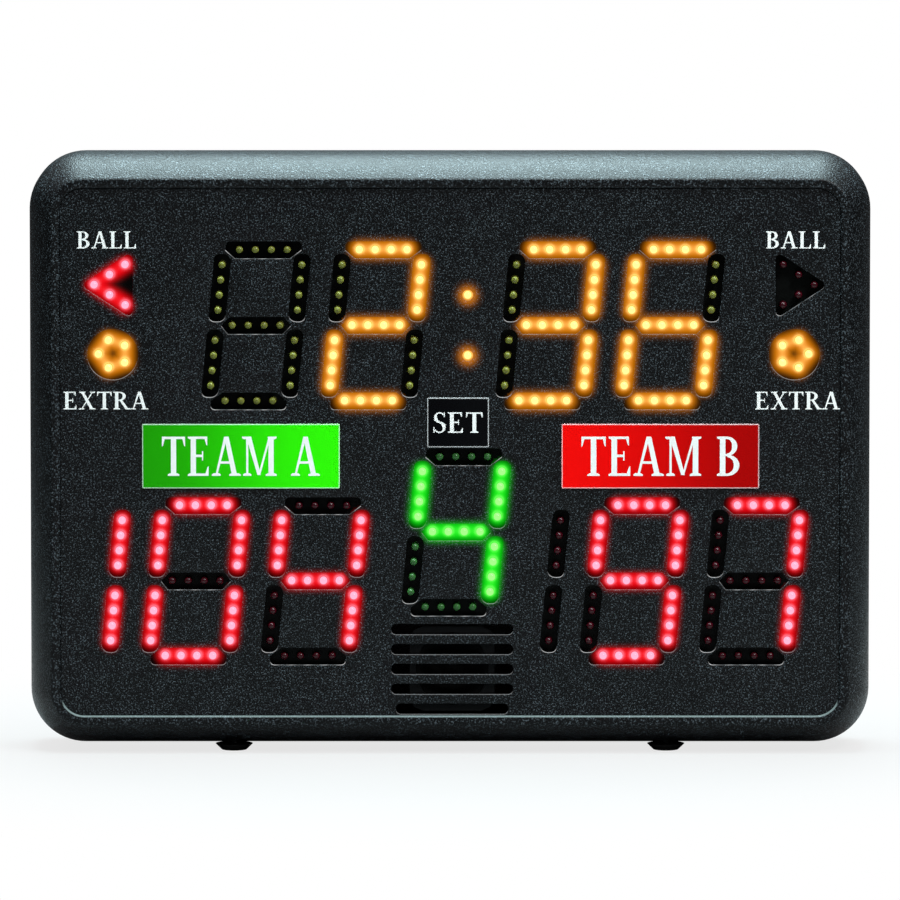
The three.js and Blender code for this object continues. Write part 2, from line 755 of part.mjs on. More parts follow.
// Battery bay: the cells stand in columns, one above another, between the contact strips.
const bayPlace = onPanel(bayPlaceShares);
const cellPitch = 2 * cellRadius + fit;
const bayWidth = cellColumns * cellPitch + 2 * fit;
const bayHeight = cellRows * (cellHeight + fit) + 2 * contactThickness + 2 * springHeight + 3 * fit;
const bayDepth = 2 * cellRadius + 2 * fit;
const bayBottom = bayPlace[1] - bayHeight / 2;
const bayTop = bayPlace[1] + bayHeight / 2;
const bayMouthY = rearY - doorThickness - fit;
const bayFloorY = bayMouthY - bayDepth;
const bayBackY = rearWallY - doorFrame - fit;
const bayLeft = bayPlace[0] - bayWidth / 2;
const bayRight = bayPlace[0] + bayWidth / 2;
const doorLeft = bayLeft - doorLedge;
const doorRight = bayRight + doorLedge;
const doorBottom = bayBottom - doorHingeLedge;
const doorTop = bayTop + doorLedge;
const hingeY = rearY - hingeRadius;
const hingeZ = doorBottom + hingeRadius;

// Control tray.
const controlBayWidth = controlWidthShare * panelHalfWidth;
const controlReach = controlBayHeight / 2 + controlFloor + tubFlangeWidth;
const lowerScrewTop = caseScrewPlaces[0][1] + screwWellRadius + screwWellWall;
const controlPlace = [controlPlaceShare * panelHalfWidth, lowerScrewTop + controlAboveScrews + controlReach];
const controlFloorY = rearY - controlBayDepth;
const controlBackY = controlFloorY - controlFloor;
const controlAt = (share) => [controlPlace[0] + share * controlBayWidth, controlPlace[1]];
const switchCentre = controlAt(switchPlaceShare);
const powerSocketCentre = controlAt(powerSocketPlaceShare);
const cableSocketCentre = controlAt(cableSocketPlaceShare);
const volumeCentre = controlAt(volumePlaceShare);

// Control board, held by hooks from the back wall.
const controlBoardZ = centreZ + controlBoardRowShare * panelHalfHeight;
const controlBoardBackY = rearWallY - controlBoardSetback;
const controlBoardFaceY = controlBoardBackY - boardThickness;
const controlBoardCorners = {
  low: [-controlBoardWidth / 2, controlBoardZ - controlBoardHeight / 2],
  high: [controlBoardWidth / 2, controlBoardZ + controlBoardHeight / 2],
};

const gripPlace = [0, centreZ + gripPlaceShare * panelHalfHeight];
const keyholePlaces = [-1, 1].map((side) =>
  [side * keyholeShares[0] * panelHalfWidth, centreZ + keyholeShares[1] * panelHalfHeight]);

// Keyhole: a round hole for the screw's head and a slot above it for its shank.
function keyhole([x, z]) {
  const cutY = [rearWallY - overrun, rearY + overrun];
  const slotTop = z + keyholeSlotLength;
  return union([
    rod(keyholeRadius, ...cutY, [x, z]),
    box([x - keyholeSlotWidth / 2, cutY[0], z], [x + keyholeSlotWidth / 2, cutY[1], slotTop]),
    rod(keyholeSlotWidth / 2, ...cutY, [x, slotTop]),
  ]);
}

// Tub let into the back wall: its walls reach through a hole to the outer face, and its flange lies
// against the inside of the wall.
function tubOutline({ place, width, height, corner }, reach) {
  return roundedBox(place, width + 2 * reach, height + 2 * reach, corner + reach, pocketSteps);
}

function tub(form) {
  const flangeBackY = rearWallY - fit;
  const flange = tubOutline(form, form.thickness + tubFlangeWidth);
  return plate(tubOutline(form, form.thickness), rearY - form.depth - form.thickness, rearY)
    .add(plate(flange, flangeBackY - tubFlangeThickness, flangeBackY))
    .subtract(plate(tubOutline(form, 0), rearY - form.depth, rearY + overrun));
}
const tubHole = (form) =>
  plate(tubOutline(form, form.thickness + fit), rearWallY - overrun, rearY + overrun);

const controlForm = {
  place: controlPlace,
  width: controlBayWidth,
  height: controlBayHeight,
  corner: controlBayCorner,
  depth: controlBayDepth,
  thickness: controlFloor,
};
const gripForm = {
  place: gripPlace,
  width: gripWidth,
  height: gripHeight,
  corner: gripCorner,
  depth: gripDepth,
  thickness: gripWall,
};

// Screw well of the rear half: a tube with a seat for the screw's head.
const screwTube = (place) =>
  rod(screwWellRadius + screwWellWall, fit, rearWallY + overrun, place, smallRodSides);
const screwBore = (place) => union([
  rod(screwWellRadius, screwSeatY, rearY + overrun, place, smallRodSides),
  rod(screwHoleRadius, -overrun, screwSeatY + overrun, place, fineRodSides),
]);

function rearHousing() {
  const outer = caseForm(rearSections(partingGap, rearY, 0));
  const inner = caseForm(rearSections(partingGap - overrun, rearWallY, wall));
  const lipInset = wall + fit;
  const lipOutline = (inset) => {
    const size = [bodyWidth - 2 * inset, bodyHeight - 2 * inset];
    return roundedBox([0, centreZ], ...size, cornerRadius - inset, cornerSteps);
  };
  const lip = plate(lipOutline(lipInset), -lipDepth, wall)
    .subtract(plate(lipOutline(lipInset + lipThickness), -lipDepth - overrun, wall + overrun));
  const lipRoot = plate(lipOutline(wall / 2), partingGap, wall)
    .subtract(plate(lipOutline(lipInset + lipThickness), partingGap - overrun, wall + overrun));
  const bayHole = box([bayLeft, bayBackY - overrun, bayBottom], [bayRight, rearY + overrun, bayTop]);
  const rebate = box(
    [doorLeft - fit, bayMouthY, doorBottom - fit],
    [doorRight + fit, rearY + overrun, doorTop + fit]);
  const beam = box(
    [doorLeft - hingeBlock, rearWallY - doorFrame, doorBottom - fit - bayWall],
    [doorRight + hingeBlock, rearWallY + overrun, bayBottom]);
  const frame = box(
    [doorLeft - bayWall, rearWallY - doorFrame, doorBottom - bayWall],
    [doorRight + bayWall, rearWallY + overrun, doorTop + bayWall]);
  const trough = rodAlongX(hingeRadius + runningFit, doorLeft - fit, doorRight + fit, [hingeY, hingeZ]);
  const pinReach = hingePinLength + fit;
  const pinHole = rodAlongX(
    hingePinRadius + runningFit, doorLeft - pinReach, doorRight + pinReach, [hingeY, hingeZ], smallRodSides);
  const rearFeet = feet.filter((foot) => foot.place[1] > 0).map((foot) => foot.place);
  const boardFaces = [controlBoardBackY, controlBoardFaceY];
  const boardHooks = hooksAboveAndBelow(controlBoardCorners, rearWallY, ...boardFaces);
  return outer.subtract(inner)
    .add(union([lip, lipRoot, frame, beam]))
    .add(union([...caseScrewPlaces.map(screwTube), ...rearFeet.map(footPad), ...boardHooks]))
    .subtract(union([bayHole, rebate, trough, pinHole, tubHole(controlForm), tubHole(gripForm)]))
    .subtract(union([...caseScrewPlaces.map(screwBore), ...keyholePlaces.map(keyhole)]))
    .subtract(union(rearFeet.map(footPilot)));
}

// Battery box: its flange lies against the frame round the door's opening.
function batteryBox() {
  const shell = box(
    [bayLeft - bayWall, bayFloorY - bayWall, bayBottom - bayWall],
    [bayRight + bayWall, bayBackY, bayTop + bayWall]);
  const reach = bayWall + tubFlangeWidth;
  const flange = box(
    [bayLeft - reach, bayBackY - tubFlangeThickness, bayBottom - reach],
    [bayRight + reach, bayBackY, bayTop + reach]);
  const space = box([bayLeft, bayFloorY, bayBottom], [bayRight, bayBackY + overrun, bayTop]);
  return shell.add(flange).subtract(space);
}

// Control tray: a tub with holes in its floor for the switch, the sockets and the volume control.
function controlTray() {
  const holeY = [controlBackY - overrun, controlFloorY + overrun];
  const switchHole = [switchBodyWidth + 2 * fit, switchBodyHeight + 2 * fit];
  const cableSocketHole = [cableSocketBodyWidth + 2 * fit, cableSocketBodyHeight + 2 * fit];
  return tub(controlForm).subtract(union([
    plate(roundedBox(switchCentre, ...switchHole, mouldCorner, 1), ...holeY),
    rod(powerSocketBarrelRadius + fit, ...holeY, powerSocketCentre),
    plate(roundedBox(cableSocketCentre, ...cableSocketHole, mouldCorner, 1), ...holeY),
    rod(volumeBushingRadius + fit, ...holeY, volumeCentre),
  ]));
}

// Screw along Y, its head towards the back.
function caseScrew(place) {
  const headY = screwSeatY + fit;
  return union([
    rod(screwRadius, headY - screwLength, headY + fit, place, fineRodSides),
    rod(screwHeadRadius, headY, headY + screwHeadHeight, place, smallRodSides),
  ]);
}

function rubberFoot([x, y]) {
  const profile = [[0, 0], [footTreadRadius, 0], [footTopRadius, footHeight - fit], [0, footHeight - fit]];
  const body = turned(profile, rodSides).rotate([90, 0, 0]).translate([x, y, 0]);
  return body
    .subtract(rodAlongZ(footBore / 2, -overrun, footHeight + overrun, [x, y], fineRodSides))
    .subtract(rodAlongZ(footCounterbore / 2, -overrun, footHeight - fit - footWeb, [x, y], smallRodSides));
}

function footScrew([x, y]) {
  const headTop = footHeight - 2 * fit - footWeb;
  const headBottom = headTop - footScrewHeadHeight;
  return union([
    rodAlongZ(footScrewHeadRadius, headBottom, headTop, [x, y], smallRodSides),
    rodAlongZ(footScrewRadius, headTop - fit, headTop + footScrewLength - footWeb, [x, y], fineRodSides),
  ]);
}

function namePlate(placeShares, [width, height]) {
  const outline = roundedBox(onPanel(placeShares), width, height, plateCorner, 1);
  return plate(outline, panelFaceY - fit - plateThickness, panelFaceY - fit);
}

// Ribbon cable: a strip along a centre line of two coordinates, as wide as stated in the third.
function ribbon(centreLine, width, basis) {
  const far = centreLine.map(([a, b]) => new THREE.Vector2(a, b + ribbonThickness / 2));
  const near = centreLine.toReversed().map(([a, b]) => new THREE.Vector2(a, b - ribbonThickness / 2));
  const shape = new THREE.Shape([...far, ...near]);
  const made = new THREE.ExtrudeGeometry(shape, { depth: width, bevelEnabled: false });
  return solid(made.translate(0, 0, -width / 2).applyMatrix4(new THREE.Matrix4().makeBasis(...basis)));
}

// Jumper between the backs of two neighbouring boards: it lies flat at each end and arches between.
function jumperLine(from, to) {
  const lying = boardBackY + fit + ribbonThickness / 2;
  const arch = Array.from({ length: ribbonSteps + 1 }, (_, k) => {
    const rise = Math.sin((Math.PI * k) / ribbonSteps) ** 2;
    return [from + ((to - from) * k) / ribbonSteps, lying + jumperArchShare * (to - from) * rise];
  });
  return [[from - jumperLanding, lying], ...arch, [to + jumperLanding, lying]];
}

function jumperAcross(left, right, z) {
  const made = ribbon(jumperLine(left.high[0], right.low[0]), jumperWidth, [axisX, axisY, axisZ]);
  return made.translate([0, 0, z]);
}

function jumperUp(lower, upper, x) {
  const made = ribbon(jumperLine(lower.high[1], upper.low[1]), jumperWidth, [axisZ, axisY, axisX]);
  return made.translate([x, 0, 0]);
}

// Ribbon from the control board's face to the back of the clock board, with a slack bend in it.
function controlRibbon() {
  const [startY, endY] = [controlBoardFaceY - fit, boardBackY + fit];
  const drop = controlBoardHeight / 4;
  const line = Array.from({ length: ribbonSteps + 1 }, (_, k) => {
    const share = k / ribbonSteps;
    return [startY + (endY - startY) * share, controlBoardZ + drop * Math.cos(Math.PI * share)];
  });
  return ribbon(line, ribbonWidth, [axisY, axisZ, axisX]);
}

// Loudspeaker: pressed basket, paper cone and magnet.
function speakerBasket() {
  const [x, z] = grillePlace;
  const [y0, y1] = [speakerFaceY, speakerFlangeBackY];
  const y2 = speakerFaceY + speakerDepth;
  const outline = roundedBox(grillePlace, speakerFlange, speakerFlange, speakerFlangeCorner, pocketSteps);
  const t = speakerBasketWall;
  const bowl = turned([
    [0, y1 - fit], [speakerMouthRadius + t, y1 - fit], [speakerMouthRadius + t, y1 + t],
    [speakerBackRadius + t, y2], [0, y2],
  ], speakerSides).translate([x, 0, z]);
  const hollow = turned([
    [0, y0 - overrun], [speakerMouthRadius, y0 - overrun], [speakerMouthRadius, y1 + t],
    [speakerBackRadius, y2 - t], [0, y2 - t],
  ], speakerSides).translate([x, 0, z]);
  return plate(outline, y0, y1).add(bowl).subtract(hollow);
}

function speakerCone() {
  const y0 = speakerFaceY + fit;
  const coneEdgeRadius = coneEdgeShare * speakerFlange;
  const neckY = y0 + coneDepth;
  const cap = neckY - dustCapHeight;
  const profile = [
    [0, neckY + coneThickness], [coneNeckRadius, neckY + coneThickness],
    [coneEdgeRadius, y0 + coneThickness], [speakerMouthRadius - fit, y0 + coneThickness],
    [speakerMouthRadius - fit, y0], [coneEdgeRadius - coneThickness, y0],
    [coneNeckRadius, neckY - coneThickness], [coneNeckRadius / 2, cap], [0, cap - coneThickness],
  ];
  return turned(profile, speakerSides).translate([grillePlace[0], 0, grillePlace[1]]);
}

function speakerMagnet() {
  const y0 = speakerFaceY + speakerDepth + fit;
  const y1 = y0 + magnetThickness;
  return rod(magnetShare * speakerFlange, y0, y1, grillePlace, speakerSides);
}

// Control board parts.
function controlBoard() {
  const { low, high } = controlBoardCorners;
  return box([low[0], controlBoardFaceY, low[1]], [high[0], controlBoardBackY, high[1]]);
}

function processorChip() {
  const x = chipOffsetShare * controlBoardWidth;
  const y = controlBoardFaceY - fit;
  const z = controlBoardZ;
  const [w, h] = [chipWidth / 2, chipHeight / 2];
  return box([x - w, y - chipThickness, z - h], [x + w, y, z + h]);
}

function heatSink() {
  const x = heatSinkOffsetShare * controlBoardWidth;
  const y = controlBoardFaceY - fit;
  const [w, h] = [heatSinkWidth / 2, heatSinkHeight / 2];
  const base = box([x - w, y - heatSinkBase, controlBoardZ - h], [x + w, y, controlBoardZ + h]);
  const pitch = (heatSinkWidth - heatSinkFinThickness) / (heatSinkFins - 1);
  const fins = Array.from({ length: heatSinkFins }, (_, k) => {
    const left = x - w + k * pitch;
    return box(
      [left, y - heatSinkBase - heatSinkFinHeight, controlBoardZ - h],
      [left + heatSinkFinThickness, y - fit, controlBoardZ + h]);
  });
  return union([base, ...fins]);
}

// Contact strip at an end of the battery bay, with a spring for each column of cells.
function contactStrip(up) {
  const y = bayMouthY - bayDepth / 2;
  const wallZ = up ? bayTop - fit : bayBottom + fit;
  const inward = up ? -1 : 1;
  const [a, b] = [wallZ, wallZ + inward * contactThickness];
  const strip = box([bayLeft + fit, y - contactWidth / 2, Math.min(a, b)],
    [bayRight - fit, y + contactWidth / 2, Math.max(a, b)]);
  const spring = turned([[0, 0], [springRadius, 0], [springRadius / 2, springHeight + contactThickness / 2],
    [0, springHeight + contactThickness / 2]], smallRodSides).rotate([90, 0, 0]);
  const facing = up ? spring.rotate([180, 0, 0]) : spring;
  const springs = Array.from({ length: cellColumns }, (_, k) => {
    const x = bayLeft + fit + cellPitch * (k + 1 / 2);
    return facing.translate([x, y, wallZ + inward * (contactThickness / 2)]);
  });
  return union([strip, ...springs]);
}

// Battery door: a ribbed lid with a hinge barrel and pins below, and a latch tongue above.
function batteryDoor() {
  const insideY = rearY - doorThickness;
  const lid = box([doorLeft, insideY, hingeZ], [doorRight, rearY, doorTop]);
  const barrel = rodAlongX(hingeRadius, doorLeft, doorRight, [hingeY, hingeZ]);
  const pins = rodAlongX(
    hingePinRadius, doorLeft - hingePinLength, doorRight + hingePinLength, [hingeY, hingeZ], smallRodSides);
  const middle = (doorLeft + doorRight) / 2;
  const tongue = box(
    [middle - latchWidth / 2, insideY - latchDepth, bayTop - fit - latchThickness],
    [middle + latchWidth / 2, insideY + fit, bayTop - fit]);
  const scoopTop = doorTop - doorLedge;
  const scoop = plate(roundedBox([middle, scoopTop - latchScoopHeight / 2], latchWidth, latchScoopHeight,
    latchScoopHeight / 2 - fit, slopeSteps), rearY - latchScoopDepth, rearY + overrun);
  const grooveLength = doorGrooveLengthShare * (doorRight - doorLeft);
  const grooves = Array.from({ length: doorGrooves }, (_, k) => {
    const z = scoopTop - latchScoopHeight - (k + 1) * doorGroovePitch;
    return box([middle - grooveLength / 2, rearY - doorGrooveDepth, z - doorGrooveWidth / 2],
      [middle + grooveLength / 2, rearY + overrun, z + doorGrooveWidth / 2]);
  });
  return union([lid, barrel, pins, tongue]).subtract(union([scoop, ...grooves]));
}

// Power switch: a snap-in body, and the rocker on its own pivot.
const rockerPivotY = controlFloorY - rockerPivotInset;

function switchBody() {
  const [x, z] = switchCentre;
  const backY = controlFloorY - switchBodyDepth;
  const bezelY = controlFloorY + fit;
  const bezel = plate(roundedBox(switchCentre, switchBezelWidth, switchBezelHeight, mouldCorner, 1),
    bezelY, bezelY + switchBezelThickness);
  const body = plate(roundedBox(switchCentre, switchBodyWidth, switchBodyHeight, mouldCorner, 1),
    backY, bezelY + fit);
  const [along, rise] = [Math.cos(rockerTilt), Math.sin(rockerTilt)];
  const endSwing = rockerHalfLength * along + rockerEndRise * rise + runningFit;
  const well = box(
    [x - rockerWidth / 2 - runningFit, rockerPivotY - 2 * rockerBelow, z - endSwing],
    [x + rockerWidth / 2 + runningFit, bezelY + switchBezelThickness + overrun, z + endSwing]);
  const pinReach = rockerWidth / 2 + rockerPinLength + runningFit;
  const pinHole = rodAlongX(
    rockerPinRadius + runningFit, x - pinReach, x + pinReach, [rockerPivotY, z], smallRodSides);
  const terminals = [-1, 0, 1].map((k) => box(
    [x - terminalWidth / 2, backY - terminalLength, z + k * terminalPitch - terminalThickness / 2],
    [x + terminalWidth / 2, backY + fit, z + k * terminalPitch + terminalThickness / 2]));
  return union([bezel, body, ...terminals]).subtract(union([well, pinHole]));
}

// Rocker about its pivot at the origin: a shallow valley across the top, rounded below.
function rocker() {
  const e = rockerHalfLength;
  const outline = [[-e, 0], [-e / 2, -rockerBelow], [e / 2, -rockerBelow], [e, 0],
    [e, rockerEndRise], [0, rockerMiddleRise], [-e, rockerEndRise]];
  const shape = new THREE.Shape(outline.map(([along, out]) => new THREE.Vector2(out, along)));
  const made = new THREE.ExtrudeGeometry(shape, { depth: rockerWidth, bevelEnabled: false });
  made.translate(0, 0, -rockerWidth / 2).applyMatrix4(new THREE.Matrix4().makeBasis(axisY, axisZ, axisX));
  const pinEnd = rockerWidth / 2 + rockerPinLength;
  return solid(made).add(rodAlongX(rockerPinRadius, -pinEnd, pinEnd, [0, 0], smallRodSides));
}

function powerSocket() {
  const outY = controlFloorY + fit;
  const profile = [
    [0, outY - powerSocketDepth], [powerSocketBarrelRadius, outY - powerSocketDepth],
    [powerSocketBarrelRadius, outY], [powerSocketFlangeRadius, outY],
    [powerSocketFlangeRadius, outY + powerSocketFlange], [powerSocketBoreRadius, outY + powerSocketFlange],
    [powerSocketBoreRadius, outY - powerSocketBoreDepth],
    [powerSocketPinRadius, outY - powerSocketBoreDepth], [powerSocketPinRadius, outY], [0, outY],
  ];
  return turned(profile, smallRodSides).translate([powerSocketCentre[0], 0, powerSocketCentre[1]]);
}

function cableSocket() {
  const [x, z] = cableSocketCentre;
  const outY = controlFloorY + fit;
  const flange = plate(
    roundedBox(cableSocketCentre, cableSocketFlangeWidth, cableSocketFlangeHeight, mouldCorner, 1),
    outY, outY + cableSocketFlange);
  const body = plate(
    roundedBox(cableSocketCentre, cableSocketBodyWidth, cableSocketBodyHeight, mouldCorner, 1),
    outY - cableSocketDepth, outY + fit);
  const faceY = outY + cableSocketFlange;
  const mouth = box(
    [x - cableSocketMouthWidth / 2, faceY - cableSocketMouthDepth, z - cableSocketMouthHeight / 2],
    [x + cableSocketMouthWidth / 2, faceY + overrun, z + cableSocketMouthHeight / 2]);
  const keyBottom = z - cableSocketMouthHeight / 2 - cableSocketKeyHeight;
  const key = box(
    [x - cableSocketKeyWidth / 2, faceY - cableSocketMouthDepth, keyBottom],
    [x + cableSocketKeyWidth / 2, faceY + overrun, z]);
  return union([flange, body]).subtract(union([mouth, key]));
}

// Volume control: body and bushing, its nut, the shaft and the knob.
const volumeBushingEndY = controlFloorY + volumeBushingLength - controlFloor;

function volumeControl() {
  const backY = controlBackY - fit;
  return union([
    rod(volumeBodyRadius, backY - volumeBodyDepth, backY, volumeCentre),
    rod(volumeBushingRadius, backY - fit, volumeBushingEndY, volumeCentre),
  ]).subtract(rod(volumeShaftRadius + runningFit, backY - volumeBodyDepth / 2, rearY, volumeCentre));
}

function volumeNut() {
  const y = controlFloorY + fit;
  return rod(volumeNutRadius, y, y + volumeNutThickness, volumeCentre, 6)
    .subtract(rod(volumeBushingRadius + fit, y - overrun, y + volumeNutThickness + overrun, volumeCentre));
}

const shaftStartY = controlBackY - volumeBodyDepth / 2;
const knobBackY = volumeBushingEndY + fit;

function volumeShaft() {
  return rod(volumeShaftRadius, shaftStartY + fit, knobBackY + knobBoreDepth - fit, volumeCentre);
}

function volumeKnob() {
  const [x, z] = volumeCentre;
  const y1 = knobBackY + knobHeight;
  const cone = turned([[0, knobBackY], [knobRadius, knobBackY], [knobTopRadius, y1 - knobEdge],
    [knobTopRadius - knobEdge, y1], [0, y1]], rodSides).translate([x, 0, z]);
  const fluted = plate(Array.from({ length: 2 * knobFlutes }, (_, k) => {
    const angle = (Math.PI * k) / knobFlutes;
    const radius = k % 2 === 0 ? knobRadius : knobRadius - knobFluteDepth;
    return [x + radius * Math.cos(angle), z + radius * Math.sin(angle)];
  }), knobBackY - overrun, y1 + overrun);
  const bore = rod(volumeShaftRadius + fit, knobBackY - overrun, knobBackY + knobBoreDepth, volumeCentre);
  const pointer = box([x - knobPointerWidth / 2, y1 - knobPointerDepth, z],
    [x + knobPointerWidth / 2, y1 + overrun, z + knobRadius]);
  return cone.intersect(fluted).subtract(union([bore, pointer]));
}

// Materials
function finish(color, roughness, metalness) {
  return new THREE.MeshStandardMaterial({ color, roughness, metalness });
}
const casePlastic = finish(0x24282b, 0.62, 0);
const boardResin = finish(0x0c0f10, 0.5, 0);
const greenPlate = finish(0x1fbf12, 0.35, 0);
const redPlate = finish(0xd81410, 0.35, 0);
const blackPlate = finish(0x08090b, 0.3, 0);
const rubber = finish(0x141414, 0.9, 0);
const steel = finish(0xb8babd, 0.35, 1);
const nickel = finish(0xc9c6bd, 0.3, 1);
const blackSteel = finish(0x232323, 0.5, 0.8);
const paperCone = finish(0x1b1b1c, 0.9, 0);
const ferrite = finish(0x3a3a3d, 0.7, 0.2);
const greyRibbon = finish(0x8d9296, 0.6, 0);
const greenResin = finish(0x1f5a34, 0.5, 0);
const chipResin = finish(0x101112, 0.55, 0);
const blackGloss = finish(0x0b0b0c, 0.25, 0);

const scoreboard = new THREE.Group();
const onPanelSize = ([across, up]) => [across * panelHalfWidth, up * panelHalfHeight];
const teamPlateSize = onPanelSize([teamPlateWidthShare, teamPlateHeightShare]);
const periodPlateSize = onPanelSize([periodPlateWidthShare, periodPlateHeightShare]);
scoreboard.add(
  piece("front_housing", frontHousing(), casePlastic),
  piece("rear_housing", rearHousing(), casePlastic),
  piece("hand_grip_cup", tub(gripForm), casePlastic),
  piece("control_tray", controlTray(), casePlastic),
  piece("battery_box", batteryBox(), casePlastic),
  piece("home_name_plate", namePlate(homePlatePlaceShares, teamPlateSize), greenPlate),
  piece("guest_name_plate", namePlate(guestPlatePlaceShares, teamPlateSize), redPlate),
  piece("period_name_plate", namePlate(periodPlatePlaceShares, periodPlateSize), blackPlate),
);
for (const [name, board] of Object.entries(boards)) {
  scoreboard.add(piece(`${name}_led_board`, ledBoard(board), boardResin));
}
const [homeIndicator, guestIndicator] = [boards.home_indicator, boards.guest_indicator];
const indicatorRow = (homeIndicator.low[1] + homeIndicator.high[1]) / 2;
const periodRow = periodDigits[0].place[1];
scoreboard.add(
  piece("home_indicator_ribbon", jumperAcross(homeIndicator, boards.clock, indicatorRow), greyRibbon),
  piece("guest_indicator_ribbon", jumperAcross(boards.clock, guestIndicator, indicatorRow), greyRibbon),
  piece("home_score_ribbon", jumperAcross(boards.home_score, boards.period, periodRow), greyRibbon),
  piece("guest_score_ribbon", jumperAcross(boards.period, boards.guest_score, periodRow), greyRibbon),
  piece("period_ribbon", jumperUp(boards.period, boards.clock, periodDigits[0].place[0]), greyRibbon),
  piece("control_ribbon", controlRibbon(), greyRibbon),
  piece("control_board", controlBoard(), greenResin),
  piece("processor_chip", processorChip(), chipResin),
  piece("regulator_heat_sink", heatSink(), steel),
  piece("speaker_basket", speakerBasket(), blackSteel),
  piece("speaker_cone", speakerCone(), paperCone),
  piece("speaker_magnet", speakerMagnet(), ferrite),
  piece("power_switch_body", switchBody(), blackGloss),
  piece("dc_power_socket", powerSocket(), blackGloss),
  piece("control_cable_socket", cableSocket(), blackGloss),
  piece("volume_control", volumeControl(), steel),
  piece("volume_control_nut", volumeNut(), nickel),
  piece("volume_shaft", volumeShaft(), nickel),
  piece("volume_knob", volumeKnob(), blackGloss),
  piece("lower_contact_strip", contactStrip(false), nickel),
  piece("upper_contact_strip", contactStrip(true), nickel),
  piece("battery_door", batteryDoor(), casePlastic),
);
for (const { name, place } of feet) {
  scoreboard.add(piece(`${name}_foot`, rubberFoot(place), rubber));
  scoreboard.add(piece(`${name}_foot_screw`, footScrew(place), steel));
}
caseScrewPlaces.forEach((place, k) => scoreboard.add(piece(`case_screw_${k + 1}`, caseScrew(place), steel)));

// The rocker sits tipped to its on position.
const rockerPivot = new THREE.Group();
rockerPivot.position.set(switchCentre[0], rockerPivotY, switchCentre[1]);
rockerPivot.rotation.x = rockerTilt;
rockerPivot.add(piece("power_rocker", rocker(), blackGloss));
scoreboard.add(rockerPivot);

export default scoreboard;
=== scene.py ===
# %% Load the packed model
import json
import math

import bmesh
import bpy
import numpy as np
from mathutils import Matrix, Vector, geometry

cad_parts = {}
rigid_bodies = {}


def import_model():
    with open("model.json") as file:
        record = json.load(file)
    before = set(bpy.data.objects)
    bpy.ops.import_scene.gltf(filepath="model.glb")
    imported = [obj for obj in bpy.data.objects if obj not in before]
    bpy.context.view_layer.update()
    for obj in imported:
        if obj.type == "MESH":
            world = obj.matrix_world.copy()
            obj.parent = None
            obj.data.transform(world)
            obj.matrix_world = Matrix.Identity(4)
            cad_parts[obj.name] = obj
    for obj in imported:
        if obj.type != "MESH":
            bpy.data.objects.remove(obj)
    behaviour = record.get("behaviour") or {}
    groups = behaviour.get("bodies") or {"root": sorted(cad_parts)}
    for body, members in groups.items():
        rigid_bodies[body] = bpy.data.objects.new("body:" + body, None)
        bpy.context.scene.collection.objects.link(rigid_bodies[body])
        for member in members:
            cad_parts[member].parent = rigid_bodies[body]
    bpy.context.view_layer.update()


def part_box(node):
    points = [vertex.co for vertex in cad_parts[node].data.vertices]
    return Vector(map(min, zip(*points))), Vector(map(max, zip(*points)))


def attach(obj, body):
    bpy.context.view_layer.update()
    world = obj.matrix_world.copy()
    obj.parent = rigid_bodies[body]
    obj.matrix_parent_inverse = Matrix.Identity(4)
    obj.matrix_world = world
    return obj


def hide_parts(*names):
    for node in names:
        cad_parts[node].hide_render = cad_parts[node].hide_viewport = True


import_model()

scene = bpy.context.scene

# %% [markdown]
# # Sizes
# The case is 566 mm wide, 398 mm high and 102 mm deep, and stands on feet. The maker of such a case
# draws the front first, so all that shows on the front is placed from the middle of the sunk panel.
# Every size here is in millimetres, because that is how a mould is drawn. Only the last step of
# making a mesh turns it into Blender's metres.

# %% Sizes of the case
MM = 0.001
case_low, case_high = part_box("front_housing")
HALF_WIDTH = case_high.x / MM
HALF_HEIGHT = (case_high.z - case_low.z) / 2 / MM
CENTRE_Z = (case_high.z + case_low.z) / 2 / MM
FRONT_Y = case_low.y / MM
REAR_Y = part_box("rear_housing")[1].y / MM
WALL = 3
CASE_CORNER = 37
BORDER = 15.3
RIM = 6
PANEL_Y = FRONT_Y + 1.5
PANEL_BACK_Y = PANEL_Y + 3
PANEL_HALF_WIDTH = HALF_WIDTH - BORDER - RIM
PANEL_HALF_HEIGHT = HALF_HEIGHT - BORDER - RIM
REAR_ROUND = 30
REAR_WALL_Y = REAR_Y - WALL
LAMP_TIP_Y = PANEL_Y + 0.8
BOARD_Y = LAMP_TIP_Y + 8.6
BOARD_BACK_Y = BOARD_Y + 1.6


def on_panel(across, up):
    """Place on the front, from shares of the panel's half width and half height."""
    return np.array([across * PANEL_HALF_WIDTH, CENTRE_Z + up * PANEL_HALF_HEIGHT])


print("panel", round(2 * PANEL_HALF_WIDTH, 1), "by", round(2 * PANEL_HALF_HEIGHT, 1), "mm")

# %% [markdown]
# # Outlines
# A moulded part is a stack of outlines: the same rounded rectangle grows, shrinks and moves in
# depth. So the helpers below make outlines as rows of (x, z) points. Two outlines with the same
# number of points can be joined by a wall of quads, which keeps every corner of the case smooth.


# %% Outlines
def rounded_box(middle, half_width, half_height, radius, steps=12):
    """Rounded rectangle, anticlockwise from its lower right corner."""
    loop = []
    for turn, (sx, sz) in enumerate([(1, -1), (1, 1), (-1, 1), (-1, -1)]):
        centre = np.array(middle) + [sx * (half_width - radius), sz * (half_height - radius)]
        for k in range(steps + 1):
            angle = math.pi / 2 * (turn - 1 + k / steps)
            loop.append(centre + radius * np.array([math.cos(angle), math.sin(angle)]))
    return np.array(loop)


def box_at(middle, half_width, half_height, corner, steps):
    """Rule that grows a rounded rectangle, corners too, by what a section asks for."""
    return lambda out: rounded_box(middle, half_width + out, half_height + out, corner + out, steps)


